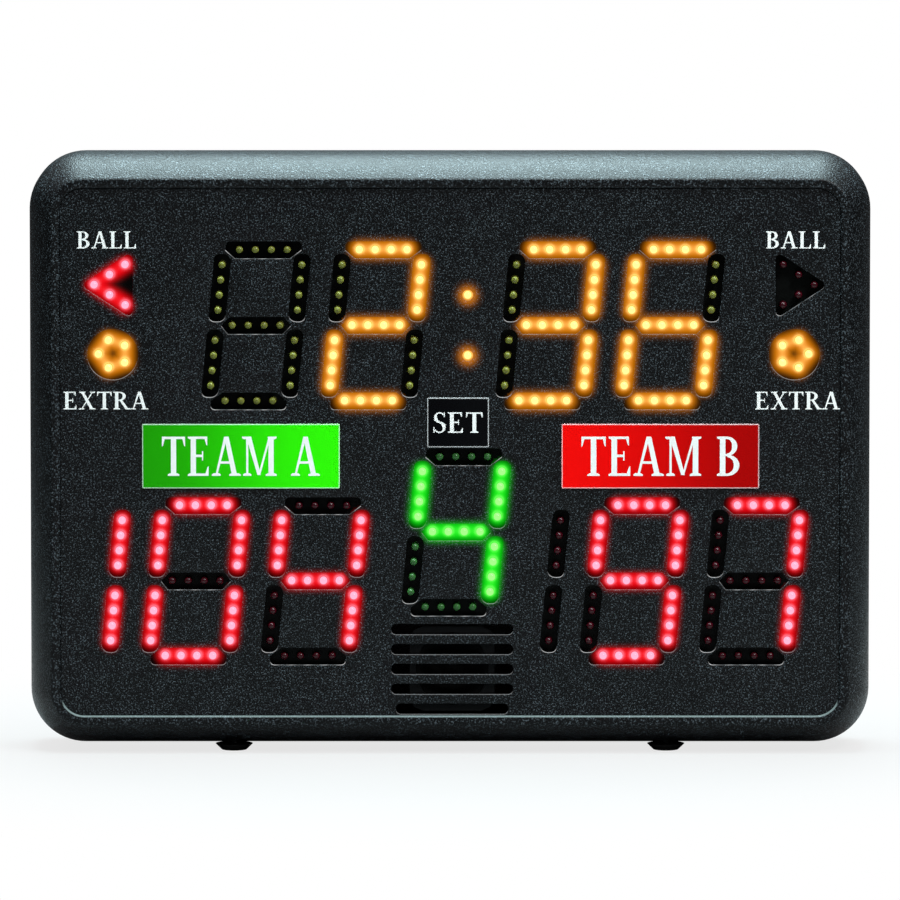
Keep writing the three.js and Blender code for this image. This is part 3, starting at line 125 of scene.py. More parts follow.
def circle(middle, radius, sides=48):
    """Circle, anticlockwise."""
    turns = 2 * np.pi * np.arange(sides) / sides
    return np.array(middle) + radius * np.column_stack([np.cos(turns), np.sin(turns)])


def rounded_corners(corners, steps=5):
    """Polygon whose corners are (x, z, radius). It comes back anticlockwise."""
    points = np.array([c[:2] for c in corners], float)
    loop = []
    for i, (*_, radius) in enumerate(corners):
        corner = points[i]
        back = points[i - 1] - corner
        on = points[(i + 1) % len(points)] - corner
        back, on = back / np.linalg.norm(back), on / np.linalg.norm(on)
        half = math.acos(np.clip(back @ on, -1, 1)) / 2
        bisector = (back + on) / np.linalg.norm(back + on)
        centre = corner + bisector * radius / math.sin(half)
        start = corner + back * radius / math.tan(half) - centre
        end = corner + on * radius / math.tan(half) - centre
        turn = math.atan2(start[0] * end[1] - start[1] * end[0], start @ end)
        for k in range(steps + 1):
            c, s = math.cos(turn * k / steps), math.sin(turn * k / steps)
            loop.append(centre + [c * start[0] - s * start[1], s * start[0] + c * start[1]])
    loop = np.array(loop)
    ahead = np.roll(loop, -1, axis=0)
    area = (loop[:, 0] * ahead[:, 1] - loop[:, 1] * ahead[:, 0]).sum() / 2
    return loop if area > 0 else loop[::-1]


def grown(loop, distance):
    """Outline moved outwards by a distance, or inwards by a negative one."""
    before = loop - np.roll(loop, 1, axis=0)
    after = np.roll(loop, -1, axis=0) - loop
    normals = []
    for edge in (before, after):
        normal = np.column_stack([edge[:, 1], -edge[:, 0]])
        normals.append(normal / np.maximum(np.linalg.norm(normal, axis=1), 1e-9)[:, None])
    total = normals[0] + normals[1]
    return loop + distance * total / np.maximum((total * total).sum(1) / 2, 0.3)[:, None]


def divided(loop, longest):
    """Outline with its long edges divided."""
    points = []
    for start, end in zip(loop, np.roll(loop, -1, axis=0)):
        count = max(1, math.ceil(np.linalg.norm(end - start) / longest))
        points += [start + (end - start) * k / count for k in range(count)]
    return np.array(points)


print("a case outline has", len(rounded_box((0, CENTRE_Z), HALF_WIDTH, HALF_HEIGHT, CASE_CORNER)), "points")

# %% [markdown]
# # One skin at a time
# A housing with dozens of windows could be cut with booleans, but their edges come out ragged and
# take no bevel. Here a skin is laid from outline to outline, the way a mould is milled. The flat
# parts between a rim and its windows are filled by a triangulation that respects every outline, so
# all points meet and the body is closed.


# %% Skin
class Skin:
    """Closed surface gathered from rings of points, in millimetres."""

    def __init__(self):
        self.points = []
        self.faces = []

    def ring(self, loop, depth):
        """Adds an outline at a depth in Y and returns the numbers of its points."""
        first = len(self.points)
        self.points += [(x, depth, z) for x, z in loop]
        return list(range(first, len(self.points)))

    def wall(self, *rings):
        """Joins rings of equal length, one after another."""
        for a, b in zip(rings, rings[1:]):
            for i in range(len(a)):
                j = (i + 1) % len(a)
                self.faces.append((a[i], a[j], b[j], b[i]))

    def stack(self, sections, outline):
        """Walls through sections of (depth, inset); returns the first and the last ring."""
        rings = [self.ring(outline(inset), depth) for depth, inset in sections]
        self.wall(*rings)
        return rings[0], rings[-1]

    def flat(self, outer, holes=(), inside=()):
        """Fills a flat ring around its holes. Points inside give it a finer mesh."""
        depth = self.points[outer[0]][1]
        extra = self.ring(inside, depth) if len(inside) else []
        used = [*outer, *(i for hole in holes for i in hole), *extra]
        flat_points = [Vector((self.points[i][0], self.points[i][2])) for i in used]
        loops, at = [], 0
        for size in [len(outer), *(len(hole) for hole in holes)]:
            loops.append(list(range(at, at + size)))
            at += size
        made = geometry.delaunay_2d_cdt(flat_points, [], loops, 0, 1e-6)
        number = [used[origins[0]] for origins in made[3]]
        self.faces += [
            tuple(number[i] for i in face)
            for face, origins in zip(made[2], made[5]) if origins == [0]]

    def lid(self, ring):
        """Closes a small ring by one face."""
        self.faces.append(tuple(ring))


print("a skin can lay", [name for name in vars(Skin) if not name.startswith("__")])


# %% Meshes and pieces
def clean_mesh(name, points, faces, sharp=35):
    """Closed mesh in metres: doubles merged, faces outwards, edges sharp where they turn."""
    mesh = bpy.data.meshes.new(name)
    mesh.from_pydata([[MM * v for v in point] for point in points], [], faces)
    work = bmesh.new()
    work.from_mesh(mesh)
    bmesh.ops.remove_doubles(work, verts=work.verts, dist=2e-6)
    bmesh.ops.recalc_face_normals(work, faces=work.faces)
    for edge in work.edges:
        edge.smooth = len(edge.link_faces) == 2 and edge.calc_face_angle(0) < math.radians(sharp)
    for face in work.faces:
        face.smooth = True
    work.to_mesh(mesh)
    work.free()
    return mesh


def is_closed(mesh):
    """True if every edge has two faces."""
    count = np.zeros(len(mesh.edges), int)
    for polygon in mesh.polygons:
        for key in polygon.loop_indices:
            count[mesh.loops[key].edge_index] += 1
    return bool((count == 2).all())


def add_piece(name, mesh, material, body, nodes=(), slot=None):
    """Puts a mesh in the scene as a piece that rides on a body of the model."""
    piece = bpy.data.objects.new(name, mesh)
    scene.collection.objects.link(piece)
    if material:
        mesh.materials.clear()
        mesh.materials.append(material)
    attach(piece, body)
    if nodes:
        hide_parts(*nodes)
    print(name, len(mesh.polygons), "faces", "closed" if is_closed(mesh) else "OPEN")
    return piece


def skin_piece(name, skin, material, body, nodes=(), slot=None):
    """Makes the skin's mesh and adds it as a piece."""
    return add_piece(name, clean_mesh(name, skin.points, skin.faces), material, body, nodes, slot)


# %% [markdown]
# # Writing a finish as sums
# A finish is a tree of nodes, and a tree built by hand soon hides what it does. The two classes below
# let it be written as it is thought: `1 - mask` adds the node that subtracts. Colours are mixed and
# never added, because a Math node would turn them grey.


# %% Wires that can stand in a sum
class Wire:
    """Output of a node that can stand in a sum."""

    def __init__(self, tree, socket):
        self.tree = tree
        self.socket = socket

    def math(self, operation, *others):
        """Puts this value and others through a Math node."""
        return self.tree.node("ShaderNodeMath", {"operation": operation}, dict(enumerate((self, *others))))

    def __add__(self, other):
        return self.math("ADD", other)

    def __mul__(self, other):
        return self.math("MULTIPLY", other)

    def __truediv__(self, other):
        return self.math("DIVIDE", other)

    def __pow__(self, other):
        return self.math("POWER", other)

    def __sub__(self, other):
        return self.math("SUBTRACT", other)

    def __rsub__(self, other):
        return self.tree.node("ShaderNodeMath", {"operation": "SUBTRACT"}, {0: other, 1: self})

    __radd__ = __add__
    __rmul__ = __mul__

    def between(self, low, high):
        """0 below low, 1 above high, and smooth between them."""
        return self.tree.node(
            "ShaderNodeMapRange", {"interpolation_type": "SMOOTHSTEP"},
            {"Value": self, "From Min": low, "From Max": high})


print("a wire also has", [name for name in vars(Wire) if not name.startswith("__")])


# %% Trees that grow node by node
class Tree:
    """Node tree that grows node by node."""

    def __init__(self, group):
        self.group = group

    def node(self, kind, settings=None, sockets=None, output=0):
        """Adds a node: first its settings, then the values or wires of its sockets."""
        made = self.group.nodes.new(kind)
        for name, value in (settings or {}).items():
            if name == "shape":
                points = made.mapping.curves[0].points
                while len(points) < len(value):
                    points.new(0.5, 0.5)
                for point, place in zip(points, value):
                    point.location = place
                    point.handle_type = "VECTOR"
            else:
                setattr(made, name, value)
        for name, value in (sockets or {}).items():
            socket = made.inputs[name] if isinstance(name, int) else next(
                each for each in made.inputs if name in (each.identifier, each.name) and each.enabled)
            if isinstance(value, Wire):
                self.group.links.new(value.socket, socket)
            else:
                socket.default_value = value
        return Wire(self, made.outputs[output]) if made.outputs else None

    def mix(self, share, a, b):
        """Mixes two colours."""
        sockets = {"Factor_Float": share, "A_Color": a, "B_Color": b}
        return self.node("ShaderNodeMix", {"data_type": "RGBA"}, sockets, 2)

    def place(self):
        """Place on the object, in metres."""
        return self.node("ShaderNodeTexCoord", output="Object")

    def noise(self, size, detail=2.0, roughness=0.5, vector=None):
        """Noise whose lumps are about this many millimetres across."""
        sockets = {"Scale": 1 / (MM * size), "Detail": detail, "Roughness": roughness}
        return self.node("ShaderNodeTexNoise", sockets={**sockets, "Vector": vector or self.place()})

    def bump(self, height, depth, strength=1.0):
        """Turns a height into a normal. Its depth is in millimetres."""
        return self.node(
            "ShaderNodeBump", sockets={"Height": height, "Distance": MM * depth, "Strength": strength})

    def axis(self, vector, name):
        """One coordinate of a place."""
        return self.node("ShaderNodeSeparateXYZ", sockets={"Vector": vector}, output=name)

    def attribute(self, name, output="Color"):
        """Value that was stored on the mesh."""
        return self.node("ShaderNodeAttribute", {"attribute_name": name}, output=output)


print("a tree has", [name for name in vars(Tree) if not name.startswith("__")])


# %% Materials and colours
def finish(name, constants, varying=None):
    """Material: constants are set on the shader, and varying(tree) returns the wires that feed it."""
    material = bpy.data.materials.new(name)
    material.use_nodes = True
    shader = material.node_tree.nodes["Principled BSDF"]
    for socket, value in constants.items():
        shader.inputs[socket].default_value = value
    for socket, wire in (varying(Tree(material.node_tree)) if varying else {}).items():
        material.node_tree.links.new(wire.socket, shader.inputs[socket])
    return material


def linear(red, green, blue):
    """Colour as a screen shows it, from 0 to 255, turned into the shader's linear values."""
    shares = [value / 255 for value in (red, green, blue)]
    return tuple(v / 12.92 if v <= 0.04 else ((v + 0.055) / 1.055) ** 2.4 for v in shares)


def ink(red, green, blue):
    """The same colour as a colour socket takes it."""
    return (*linear(red, green, blue), 1)


print("black plastic in linear values", [round(v, 4) for v in linear(40, 42, 46)])

# %% [markdown]
# # Black moulded plastic
# The case is moulded in a tool whose steel was eaten by sparks, which leaves a fine, even grain. Up
# close it is a field of tiny craters that glint. A noise of about a millimetre gives the craters, and
# a second, broader one keeps the grain from looking like a pattern. The colour, the roughness and the
# bump all follow them. The glow of the lamps falls on the front half too, so its emission comes from
# an attribute that is worked out further down.


# %% Case plastic
GRAIN_SIZE, GRAIN_PATCH = 1.05, 9


def spark_grain(tree, glint=ink(50, 55, 59)):
    """Colour, roughness and normal of the grained black plastic."""
    place = tree.place()
    fine = tree.noise(GRAIN_SIZE, 1.5, 0.5, place)
    broad = tree.noise(GRAIN_PATCH, 3.0, 0.5, place)
    crater = (fine + 0.1 * broad).between(0.52, 0.8)
    return {
        # The craters' lighter colour is partly the grain's own tone and partly a painted glint.
        "Base Color": tree.mix(crater ** 1.6, ink(2, 2, 3), glint),
        "Roughness": 0.42 - 0.24 * crater,
        "Normal": tree.bump(fine, 0.5, 0.9),
    }


def glowing_grain(tree):
    """The grain of the front half, which shows the painted glow of the lamps and a brighter painted glint
    on its craters.
    """
    return {**spark_grain(tree, ink(78, 85, 90)), "Emission Color": tree.attribute("glow")}


DULL = {"Specular IOR Level": 0.18}
case_plastic = finish("case plastic", DULL, spark_grain)
front_plastic = finish("case plastic under the lamps", {**DULL, "Emission Strength": 1.0}, glowing_grain)
print("finishes", [material.name for material in bpy.data.materials])

# %% [markdown]
# # Windows of the digits
# Each digit has seven windows over rows of four lamps, and all of them lean to the right. The
# windows and the lamps come from the same grid, so a lamp always sits in its window.

# %% Sizes of the windows
COLUMN = 0.040764 * PANEL_HALF_WIDTH
ROW = 0.057175 * PANEL_HALF_HEIGHT
LEAN = 0.0975
DIGIT = 0.30684 * PANEL_HALF_WIDTH
CLOCK_GAP = 0.223538 * PANEL_HALF_WIDTH
RAIL_WIDTH = 0.021781 * PANEL_HALF_WIDTH
RAIL_END = 0.127743 * PANEL_HALF_HEIGHT
RUNG_HEIGHT = 0.032077 * PANEL_HALF_HEIGHT
RUNG_SHOULDER = 0.069927 * PANEL_HALF_WIDTH
RUNG_END = 0.097058 * PANEL_HALF_WIDTH
MIDDLE_POINT = 0.089033 * PANEL_HALF_WIDTH
COLON_RADIUS = 3.6
RING_WINDOW = 0.095667 * PANEL_HALF_HEIGHT
RING_RADIUS = 0.054868 * PANEL_HALF_HEIGHT
ARROW_COLUMN = 0.03974 * PANEL_HALF_WIDTH
ARROW_ROW = 0.038267 * PANEL_HALF_HEIGHT
ARROW_HALF_HEIGHT = 0.129432 * PANEL_HALF_HEIGHT
ARROW_BACK = ARROW_COLUMN + 0.01987 * PANEL_HALF_WIDTH
ARROW_POINT = ARROW_COLUMN + 0.034391 * PANEL_HALF_WIDTH
COLON_ACROSS = 0.012228 * PANEL_HALF_WIDTH
SHARP_CORNER, SOFT_CORNER = 0.6, 3
RAIL_CORNERS = (5.2, 4)
SEGMENTS = {
    name: [(column, row) for column in (-1.5, -0.5, 0.5, 1.5)]
    for name, row in [("top", 5), ("middle", 0), ("bottom", -5)]}
SEGMENTS.update({
    f"{level}_{side}": [(column, up * row) for row in (1, 2, 3, 4)]
    for level, up in [("upper", 1), ("lower", -1)] for side, column in [("left", -2.5), ("right", 2.5)]})
NUMERALS = {
    "0": "top upper_left upper_right lower_left lower_right bottom",
    "1": "upper_right lower_right",
    "2": "top upper_right middle lower_left bottom",
    "3": "top upper_right middle lower_right bottom",
    "4": "upper_left upper_right middle lower_right",
    "6": "top upper_left middle lower_left lower_right bottom",
    "7": "top upper_right lower_right",
    "9": "top upper_left upper_right middle lower_right bottom",
    " ": "",
}
print(len(SEGMENTS), "segments, rows", round(ROW, 2), "mm apart, columns", round(COLUMN, 2), "mm")


# %% Outline of a segment's window
def leaned(place, across, up):
    """Point of a digit, leaned and moved to the digit's place."""
    return np.array([place[0] + across + up * LEAN, place[1] + up])


def segment_window(place, name):
    """Outline of a segment's window."""
    middle = np.mean(SEGMENTS[name], axis=0) * [COLUMN, ROW]
    w, h = RAIL_WIDTH, RUNG_HEIGHT
    if name == "middle":
        half = [(-MIDDLE_POINT, 0, SHARP_CORNER), (-RUNG_SHOULDER, -h, SHARP_CORNER),
                (RUNG_SHOULDER, -h, SHARP_CORNER)]
        corners = half + [(-x, -z, r) for x, z, r in half]
    elif name in ("top", "bottom"):
        out = h if name == "top" else -h
        right = [(RUNG_SHOULDER, -out, SHARP_CORNER), (RUNG_END, 0, SHARP_CORNER),
                 (RUNG_END, out, SOFT_CORNER)]
        corners = right + [(-x, z, r) for x, z, r in reversed(right)]
    else:
        side = w if name.endswith("right") else -w
        start, end = (
            [(-side, z, RAIL_CORNERS[0]), (side, z, RAIL_CORNERS[1])] for z in (-RAIL_END, RAIL_END))
        corners = start + end[::-1]
    placed = [(*leaned(place, middle[0] + x, middle[1] + z), r) for x, z, r in corners]
    return rounded_corners(placed)


print("a top window has", len(segment_window((0, 0), "top")), "points")

# %% Windows with their lamps
windows, lamps = [], []


def add_window(outline, spots, hue, lit, board, closed=False):
    """Adds a window and the row of lamps in it. The row of a ring is closed."""
    row = [*spots, spots[0]] if closed else spots
    windows.append({"outline": outline, "hue": hue if lit else None, "row": row})
    lamps.extend({"at": spot, "hue": hue, "lit": lit, "board": board} for spot in spots)


def add_digit(place, names, shown, hue, board):
    """Adds the windows and lamps of one digit."""
    for name in names:
        spots = [leaned(place, c * COLUMN, r * ROW) for c, r in SEGMENTS[name]]
        add_window(segment_window(place, name), spots, hue, name in NUMERALS[shown].split(), board)


print("a whole digit has", sum(len(row) for row in SEGMENTS.values()), "lamps")

# %% Digits, arrows and rings on the front
clock = on_panel(0.0333, 0.4806)
for shown, across in zip(" 236", [-CLOCK_GAP - DIGIT, -CLOCK_GAP, CLOCK_GAP, CLOCK_GAP + DIGIT]):
    add_digit(clock + [across, 0], SEGMENTS, shown, "amber", "clock")
for row in (-2, 2):
    spot = clock + [COLON_ACROSS, row * ROW]
    add_window(circle(spot, COLON_RADIUS, 32), [spot], "amber", True, "clock")
for board, ones, score in [
    ("home_score", on_panel(-0.3455, -0.4885), "104"),
    ("guest_score", on_panel(0.7803, -0.4885), " 97"),
]:
    for k, shown in enumerate(score):
        names = ("upper_right", "lower_right") if k == 0 else SEGMENTS
        add_digit(ones - [(2 - k) * DIGIT, 0], names, shown, "red", board)
add_digit(on_panel(0.016, -0.3028), SEGMENTS, "4", "green", "period")
for board, side, arrow, ring, lit in [
    ("home_indicator", -1, on_panel(-0.8724, 0.6336), on_panel(-0.8644, 0.3714), True),
    ("guest_indicator", 1, on_panel(0.8934, 0.6336), on_panel(0.8827, 0.3714), False),
]:
    back, point = arrow[0] - side * ARROW_BACK, arrow[0] + side * ARROW_POINT
    triangle = [
        (back, arrow[1] - ARROW_HALF_HEIGHT, SOFT_CORNER), (point, arrow[1], SOFT_CORNER),
        (back, arrow[1] + ARROW_HALF_HEIGHT, SOFT_CORNER)]
    chevron = [(-1, 2), (0, 1), (1, 0), (0, -1), (-1, -2)]
    spots = [arrow + [side * c * ARROW_COLUMN, r * ARROW_ROW] for c, r in chevron]
    add_window(rounded_corners(triangle, 8), spots, "red", lit, board)
    angles = [2 * math.pi * k / 5 for k in range(5)]
    spots = [ring + RING_RADIUS * np.array([side * math.cos(a), math.sin(a)]) for a in angles]
    add_window(circle(ring, RING_WINDOW, 72), spots, "amber", True, board, closed=True)
print(len(windows), "windows,", len(lamps), "lamps,", sum(lamp["lit"] for lamp in lamps), "lit")

# %% [markdown]
# # Glow
# A lit lamp also lights the slot it stands in, and the plastic round the slot glows for three or four
# millimetres. Tracing that light would take thousands of samples, so the glow is worked out here as a
# colour for each point of the mesh. It follows how far the point is from the line through a lit
# window's row of lamps and, on the boards, from the nearest lamp. The same layer holds the thin
# highlights that the lower bevels and the sill under the panel catch in the photograph.

# %% Hues of the lamps
HUES = {
    "amber": {"slot": ink(236, 134, 0), "core": ink(255, 246, 150), "dark": ink(132, 136, 58)},
    "red": {"slot": ink(252, 0, 14), "core": ink(253, 176, 204), "dark": ink(62, 6, 18)},
    "green": {"slot": ink(8, 240, 20), "core": ink(158, 255, 130), "dark": ink(60, 116, 58)},
}
SPILL = {"amber": 0.22, "red": 0.02, "green": 0.07}
REACH = {"amber": 6.2, "red": 5.5, "green": 6.0}
WINDOW_BEVEL = 0.5
HALO_LIMIT = 12
SLOT_EDGE = 0.02
BEHIND_PANEL = 1.6
SPOT_RADIUS, SPILL_RADIUS, SHINE_START = 3.2, 2.6, 7.3
# Painted highlight: the light line along the up-facing step under the panel.
SILL_HIGHLIGHT = linear(118, 138, 138)
print("hues", list(HUES), "reach in mm", REACH)


# %% Distances from lines and outlines
def distance_to_line(points, start, end):
    """Distance from points to a straight line between two others."""
    along = end - start
    share = np.clip((points - start) @ along / max(along @ along, 1e-12), 0, 1)
    return np.linalg.norm(points - start - share[:, None] * along, axis=1)


def distance_to_outline(points, outline):
    """Distance from points to an outline, and 0 inside it."""
    best = np.full(len(points), 1e9)
    inside = np.zeros(len(points), bool)
    for a, b in zip(outline, np.roll(outline, -1, axis=0)):
        best = np.minimum(best, distance_to_line(points, a, b))
        if a[1] != b[1]:
            crosses = (a[1] > points[:, 1]) != (b[1] > points[:, 1])
            cut = a[0] + (b[0] - a[0]) * (points[:, 1] - a[1]) / (b[1] - a[1])
            inside ^= crosses & (points[:, 0] < cut)
    return np.where(inside, 0, best)


gap = distance_to_outline(clock[None], windows[0]["outline"])[0]
print("the first window is", round(gap, 1), "mm from the middle of the clock")


# %% Glow on the plastic
def from_points(mesh, name):
    """Places or normals of all the points of a mesh, as rows."""
    values = np.zeros(3 * len(mesh.vertices))
    mesh.vertices.foreach_get(name, values)
    return values.reshape(-1, 3)


def add_glow(mesh, slot_share, halo_share, board=False):
    """Stores the painted glow of the lit windows on a mesh, with painted highlights on the lower bevels and
    the sill.
    """
    place, up = from_points(mesh, "co") / MM, from_points(mesh, "normal")[:, 2]
    flat, depth = place[:, [0, 2]], place[:, 1]
    lower_edge = (up > 0.25) & (depth > PANEL_Y + 0.01) & (depth < PANEL_Y + 0.4)
    total = np.zeros((len(place), 4))
    total[:, 3] = 1
    lamp_near = np.full(len(flat), 1e9)
    for lamp in lamps:
        lamp_near = np.minimum(lamp_near, np.linalg.norm(flat - lamp["at"], axis=1))
    # shine is a painted highlight on the up-facing lower bevels of the windows: dashes between the lamps
    # and a faint line elsewhere.
    shine = lower_edge * np.where(lamp_near > HALO_LIMIT, 0.16, 0.55)
    shine *= 1 - np.exp(-((lamp_near / SHINE_START) ** 10))
    for window in windows:
        if window["hue"] is None:
            continue
        outline, row, hue = window["outline"], window["row"], window["hue"]
        near = ((flat > outline.min(0) - HALO_LIMIT) & (flat < outline.max(0) + HALO_LIMIT)).all(axis=1)
        if board:
            near &= depth < BOARD_BACK_Y - 0.2
        edge = distance_to_outline(flat[near], outline)
        line = np.min([distance_to_line(flat[near], a, b) for a, b in zip(row, row[1:] or row)], axis=0)
        fade = np.exp(-((line / REACH[hue]) ** 3))
        if board:
            strength = slot_share * fade * (edge < BEHIND_PANEL)
            hot = np.exp(-((lamp_near[near] / SPOT_RADIUS) ** 3.4))
            hot += SPILL[hue] * np.exp(-((line / SPILL_RADIUS) ** 2))
            total[near, :3] += (strength * hot)[:, None] * HUES[hue]["core"][:3]
        else:
            strength = np.where(edge > SLOT_EDGE, halo_share, slot_share) * fade
            strength *= 1 - 0.5 * lower_edge[near]
            shine[near] *= np.where(edge < WINDOW_BEVEL + 0.1, 0.4, 1)
        total[near, :3] += strength[:, None] * HUES[hue]["slot"][:3]
    if not board:
        # The sill, the up-facing step under the panel, gets a painted highlight, and the lower bevels get
        # their painted highlights.
        sill = (up > 0.3) & (place[:, 2] < CENTRE_Z) & (depth > FRONT_Y + 0.05) & (depth < PANEL_Y - 0.05)
        total[:, :3] += sill[:, None] * SILL_HIGHLIGHT + shine[:, None]
    layer = mesh.attributes.new("glow", "FLOAT_COLOR", "POINT")
    layer.data.foreach_set("color", total.ravel())
    print(mesh.name, "glow on", int((total[:, :3].max(1) > 0.01).sum()), "of", len(place), "points")


# %% [markdown]
# # Front half of the case
# The front is one moulding: a border that slopes back in a wide curve, a flat rim, and a panel sunk
# 1.5 mm below it. Every window has a small bevel, because a sharp moulded edge would tear on the
# tool, and that bevel is what catches the thin lines of light along the slots.

# %% Sections of the front case
SLOPE_RADIUS = BORDER / (1 - math.sin(math.radians(45)))
SLOPE_DEPTH = SLOPE_RADIUS * math.cos(math.radians(45))
PARTING_BEVEL = 0.3
RIM_EDGE = [(0.22, 0.05), (0.05, 0.35), (0, 0.7)]
STEP_EDGE = [(0, -1.2), (0.16, -0.85), (0.8, -0.2), (1.1, 0)]
GROOVE = [(0.9, 0), (0.9, 0.38), (0, 0.45)]
BEVEL = [(0, WINDOW_BEVEL), (0.07, 0.26), (0.22, 0.08), (0.5, 0), (1.8, 0)]
HALO_RINGS = (0.8, 1.8, 3.2, 5.0, 8.0)


def front_inset(depth):
    """How far the sloping border stands in at a depth."""
    cosine = math.cos(math.radians(45)) - (depth - FRONT_Y) / SLOPE_RADIUS
    return 0 if cosine <= 0 else SLOPE_RADIUS * (1 - math.sqrt(1 - cosine * cosine))


def case_outline(inset):
    """Outline of the case, set in all round."""
    return rounded_box((0, CENTRE_Z), HALF_WIDTH - inset, HALF_HEIGHT - inset, CASE_CORNER - inset, 16)


print("the slope is", round(SLOPE_DEPTH, 1), "mm deep")

# %% Horn grille
GRILLE = on_panel(0.0054, -0.8232)
LAST_SLOT_SHARE = 0.92195
GRILLE_PITCH = 0.07569 * PANEL_HALF_HEIGHT
GRILLE_HALF_WIDTH = 0.313336 * PANEL_HALF_WIDTH / 2
GRILLE_HALF_HEIGHT = 0.52045 * GRILLE_PITCH / 2
grille_slots = []
for k in range(5):
    spot = GRILLE + [0, (2 - k) * GRILLE_PITCH]
    half = GRILLE_HALF_WIDTH * (LAST_SLOT_SHARE if k == 4 else 1)
    grille_slots.append(rounded_box(spot, half, GRILLE_HALF_HEIGHT, GRILLE_HALF_HEIGHT - 0.15, 6))


print(len(grille_slots), "slots in the grille")


# %% Front half in one skin
def front_case():
    """The whole front half as one skin."""
    skin = Skin()
    slope_end = FRONT_Y + SLOPE_DEPTH
    depths = [*np.linspace(slope_end, FRONT_Y + 1.3, 14), FRONT_Y + 0.6]
    outside = [(0, PARTING_BEVEL), (-PARTING_BEVEL, 0), *((y, front_inset(y)) for y in depths)]
    outside += [(FRONT_Y + back, BORDER + inset) for back, inset in RIM_EDGE]
    outside += [(FRONT_Y + back, BORDER + RIM + inset) for back, inset in STEP_EDGE]
    outside += [(PANEL_Y + back, BORDER + RIM + inset) for back, inset in GROOVE]
    parting, panel = skin.stack(outside, case_outline)
    fronts, backs, halo = [], [], []
    for window in windows + [{"outline": slot, "hue": None} for slot in grille_slots]:
        outline = divided(window["outline"], 4)
        sections = [*((PANEL_Y + back, out) for back, out in BEVEL), (PANEL_BACK_Y, 0)]
        first, last = skin.stack(sections, lambda out: grown(outline, out))
        fronts.append(first)
        backs.append(last)
        if window["hue"]:
            halo += [grown(outline, WINDOW_BEVEL + out) for out in HALO_RINGS]
    skin.flat(panel, fronts, np.concatenate(halo))
    depths = np.linspace(PANEL_BACK_Y, slope_end, 10)
    inside = [*((y, front_inset(y) + WALL) for y in depths), (0, WALL)]
    back, inner = skin.stack(inside, case_outline)
    skin.flat(back, backs)
    skin.wall(inner, parting)
    return skin


skin = front_case()
front_mesh = clean_mesh("front_case", skin.points, skin.faces)
add_glow(front_mesh, 0.85, 0.75)
add_piece("front_case", front_mesh, front_plastic, "case", ["front_housing"], "case_plastic")

# %% [markdown]
# # Rear half of the case
# The rear half is a tray with softly rounded edges. A lip stands forward from it and slips into the
# front half. Its flat back has the openings: the battery door, the hand grip, the control tray, two
# keyholes for hanging, and eight deep wells for the screws.

# %% Openings of the rear half
tray_low, tray_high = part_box("control_tray")
grip_low, grip_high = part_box("hand_grip_cup")
bay_low, bay_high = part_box("battery_box")
door_low, door_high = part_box("battery_door")
TUB_FLANGE = 3
FIT = 0.3
screw_places = [on_panel(x, z) for z in (-0.9, 0.9) for x in (-0.917, -0.363, 0.363, 0.917)]
keyhole_places = [on_panel(side * 0.53, 0.62) for side in (-1, 1)]
KEYHOLE_HEAD, KEYHOLE_NECK, KEYHOLE_RISE = 4.6, 2.4, 9


def middle_and_halves(low, high, less):
    """Middle, half width and half height of a box in millimetres, set in by less."""
    middle = np.array([low.x + high.x, low.z + high.z]) / 2 / MM
    return middle, (high.x - low.x) / 2 / MM - less, (high.z - low.z) / 2 / MM - less


def keyhole_outline(spot, grow):
    """Round hole for a screw's head with a slot above it for the shank."""
    head, neck, rise = KEYHOLE_HEAD + grow, KEYHOLE_NECK + grow, KEYHOLE_RISE
    start = math.asin(neck / head)
    round_turns = math.pi / 2 + start + (2 * math.pi - 2 * start) * np.arange(41) / 40
    slot_turns = math.pi * np.arange(17) / 16
    return np.concatenate([
        spot + head * np.column_stack([np.cos(round_turns), np.sin(round_turns)]),
        spot + np.column_stack([neck * np.cos(slot_turns), rise + neck * np.sin(slot_turns)])])


TUB_WALL, BAY_WALL = 2.5, 2
GRIP_CORNER, TRAY_CORNER, BAY_CORNER = 8, 5, 2.5
WELL_SEAT_Y, WELL_FOOT_Y = 12, 0.3
WELL_MOUTH, WELL_BORE, WELL_OUTSIDE = 3.9, 2.1, 5.6
LIP_REACH, LIP_WALL = 2.5, 1.4
REBATE = 2.8
FRAME_WALL, FRAME_REACH = 1.7, 5
grip = middle_and_halves(grip_low, grip_high, TUB_FLANGE + TUB_WALL)
tray = middle_and_halves(tray_low, tray_high, TUB_FLANGE + TUB_WALL)
bay = middle_and_halves(bay_low, bay_high, TUB_FLANGE + BAY_WALL)
DOOR_SIDE = door_high.x / MM + FIT
DOOR_TOP = door_high.z / MM + FIT
DOOR_BOTTOM = door_low.z / MM - FIT
print("grip", grip, "tray", tray, "bay", bay, "door", DOOR_SIDE, DOOR_BOTTOM, DOOR_TOP)


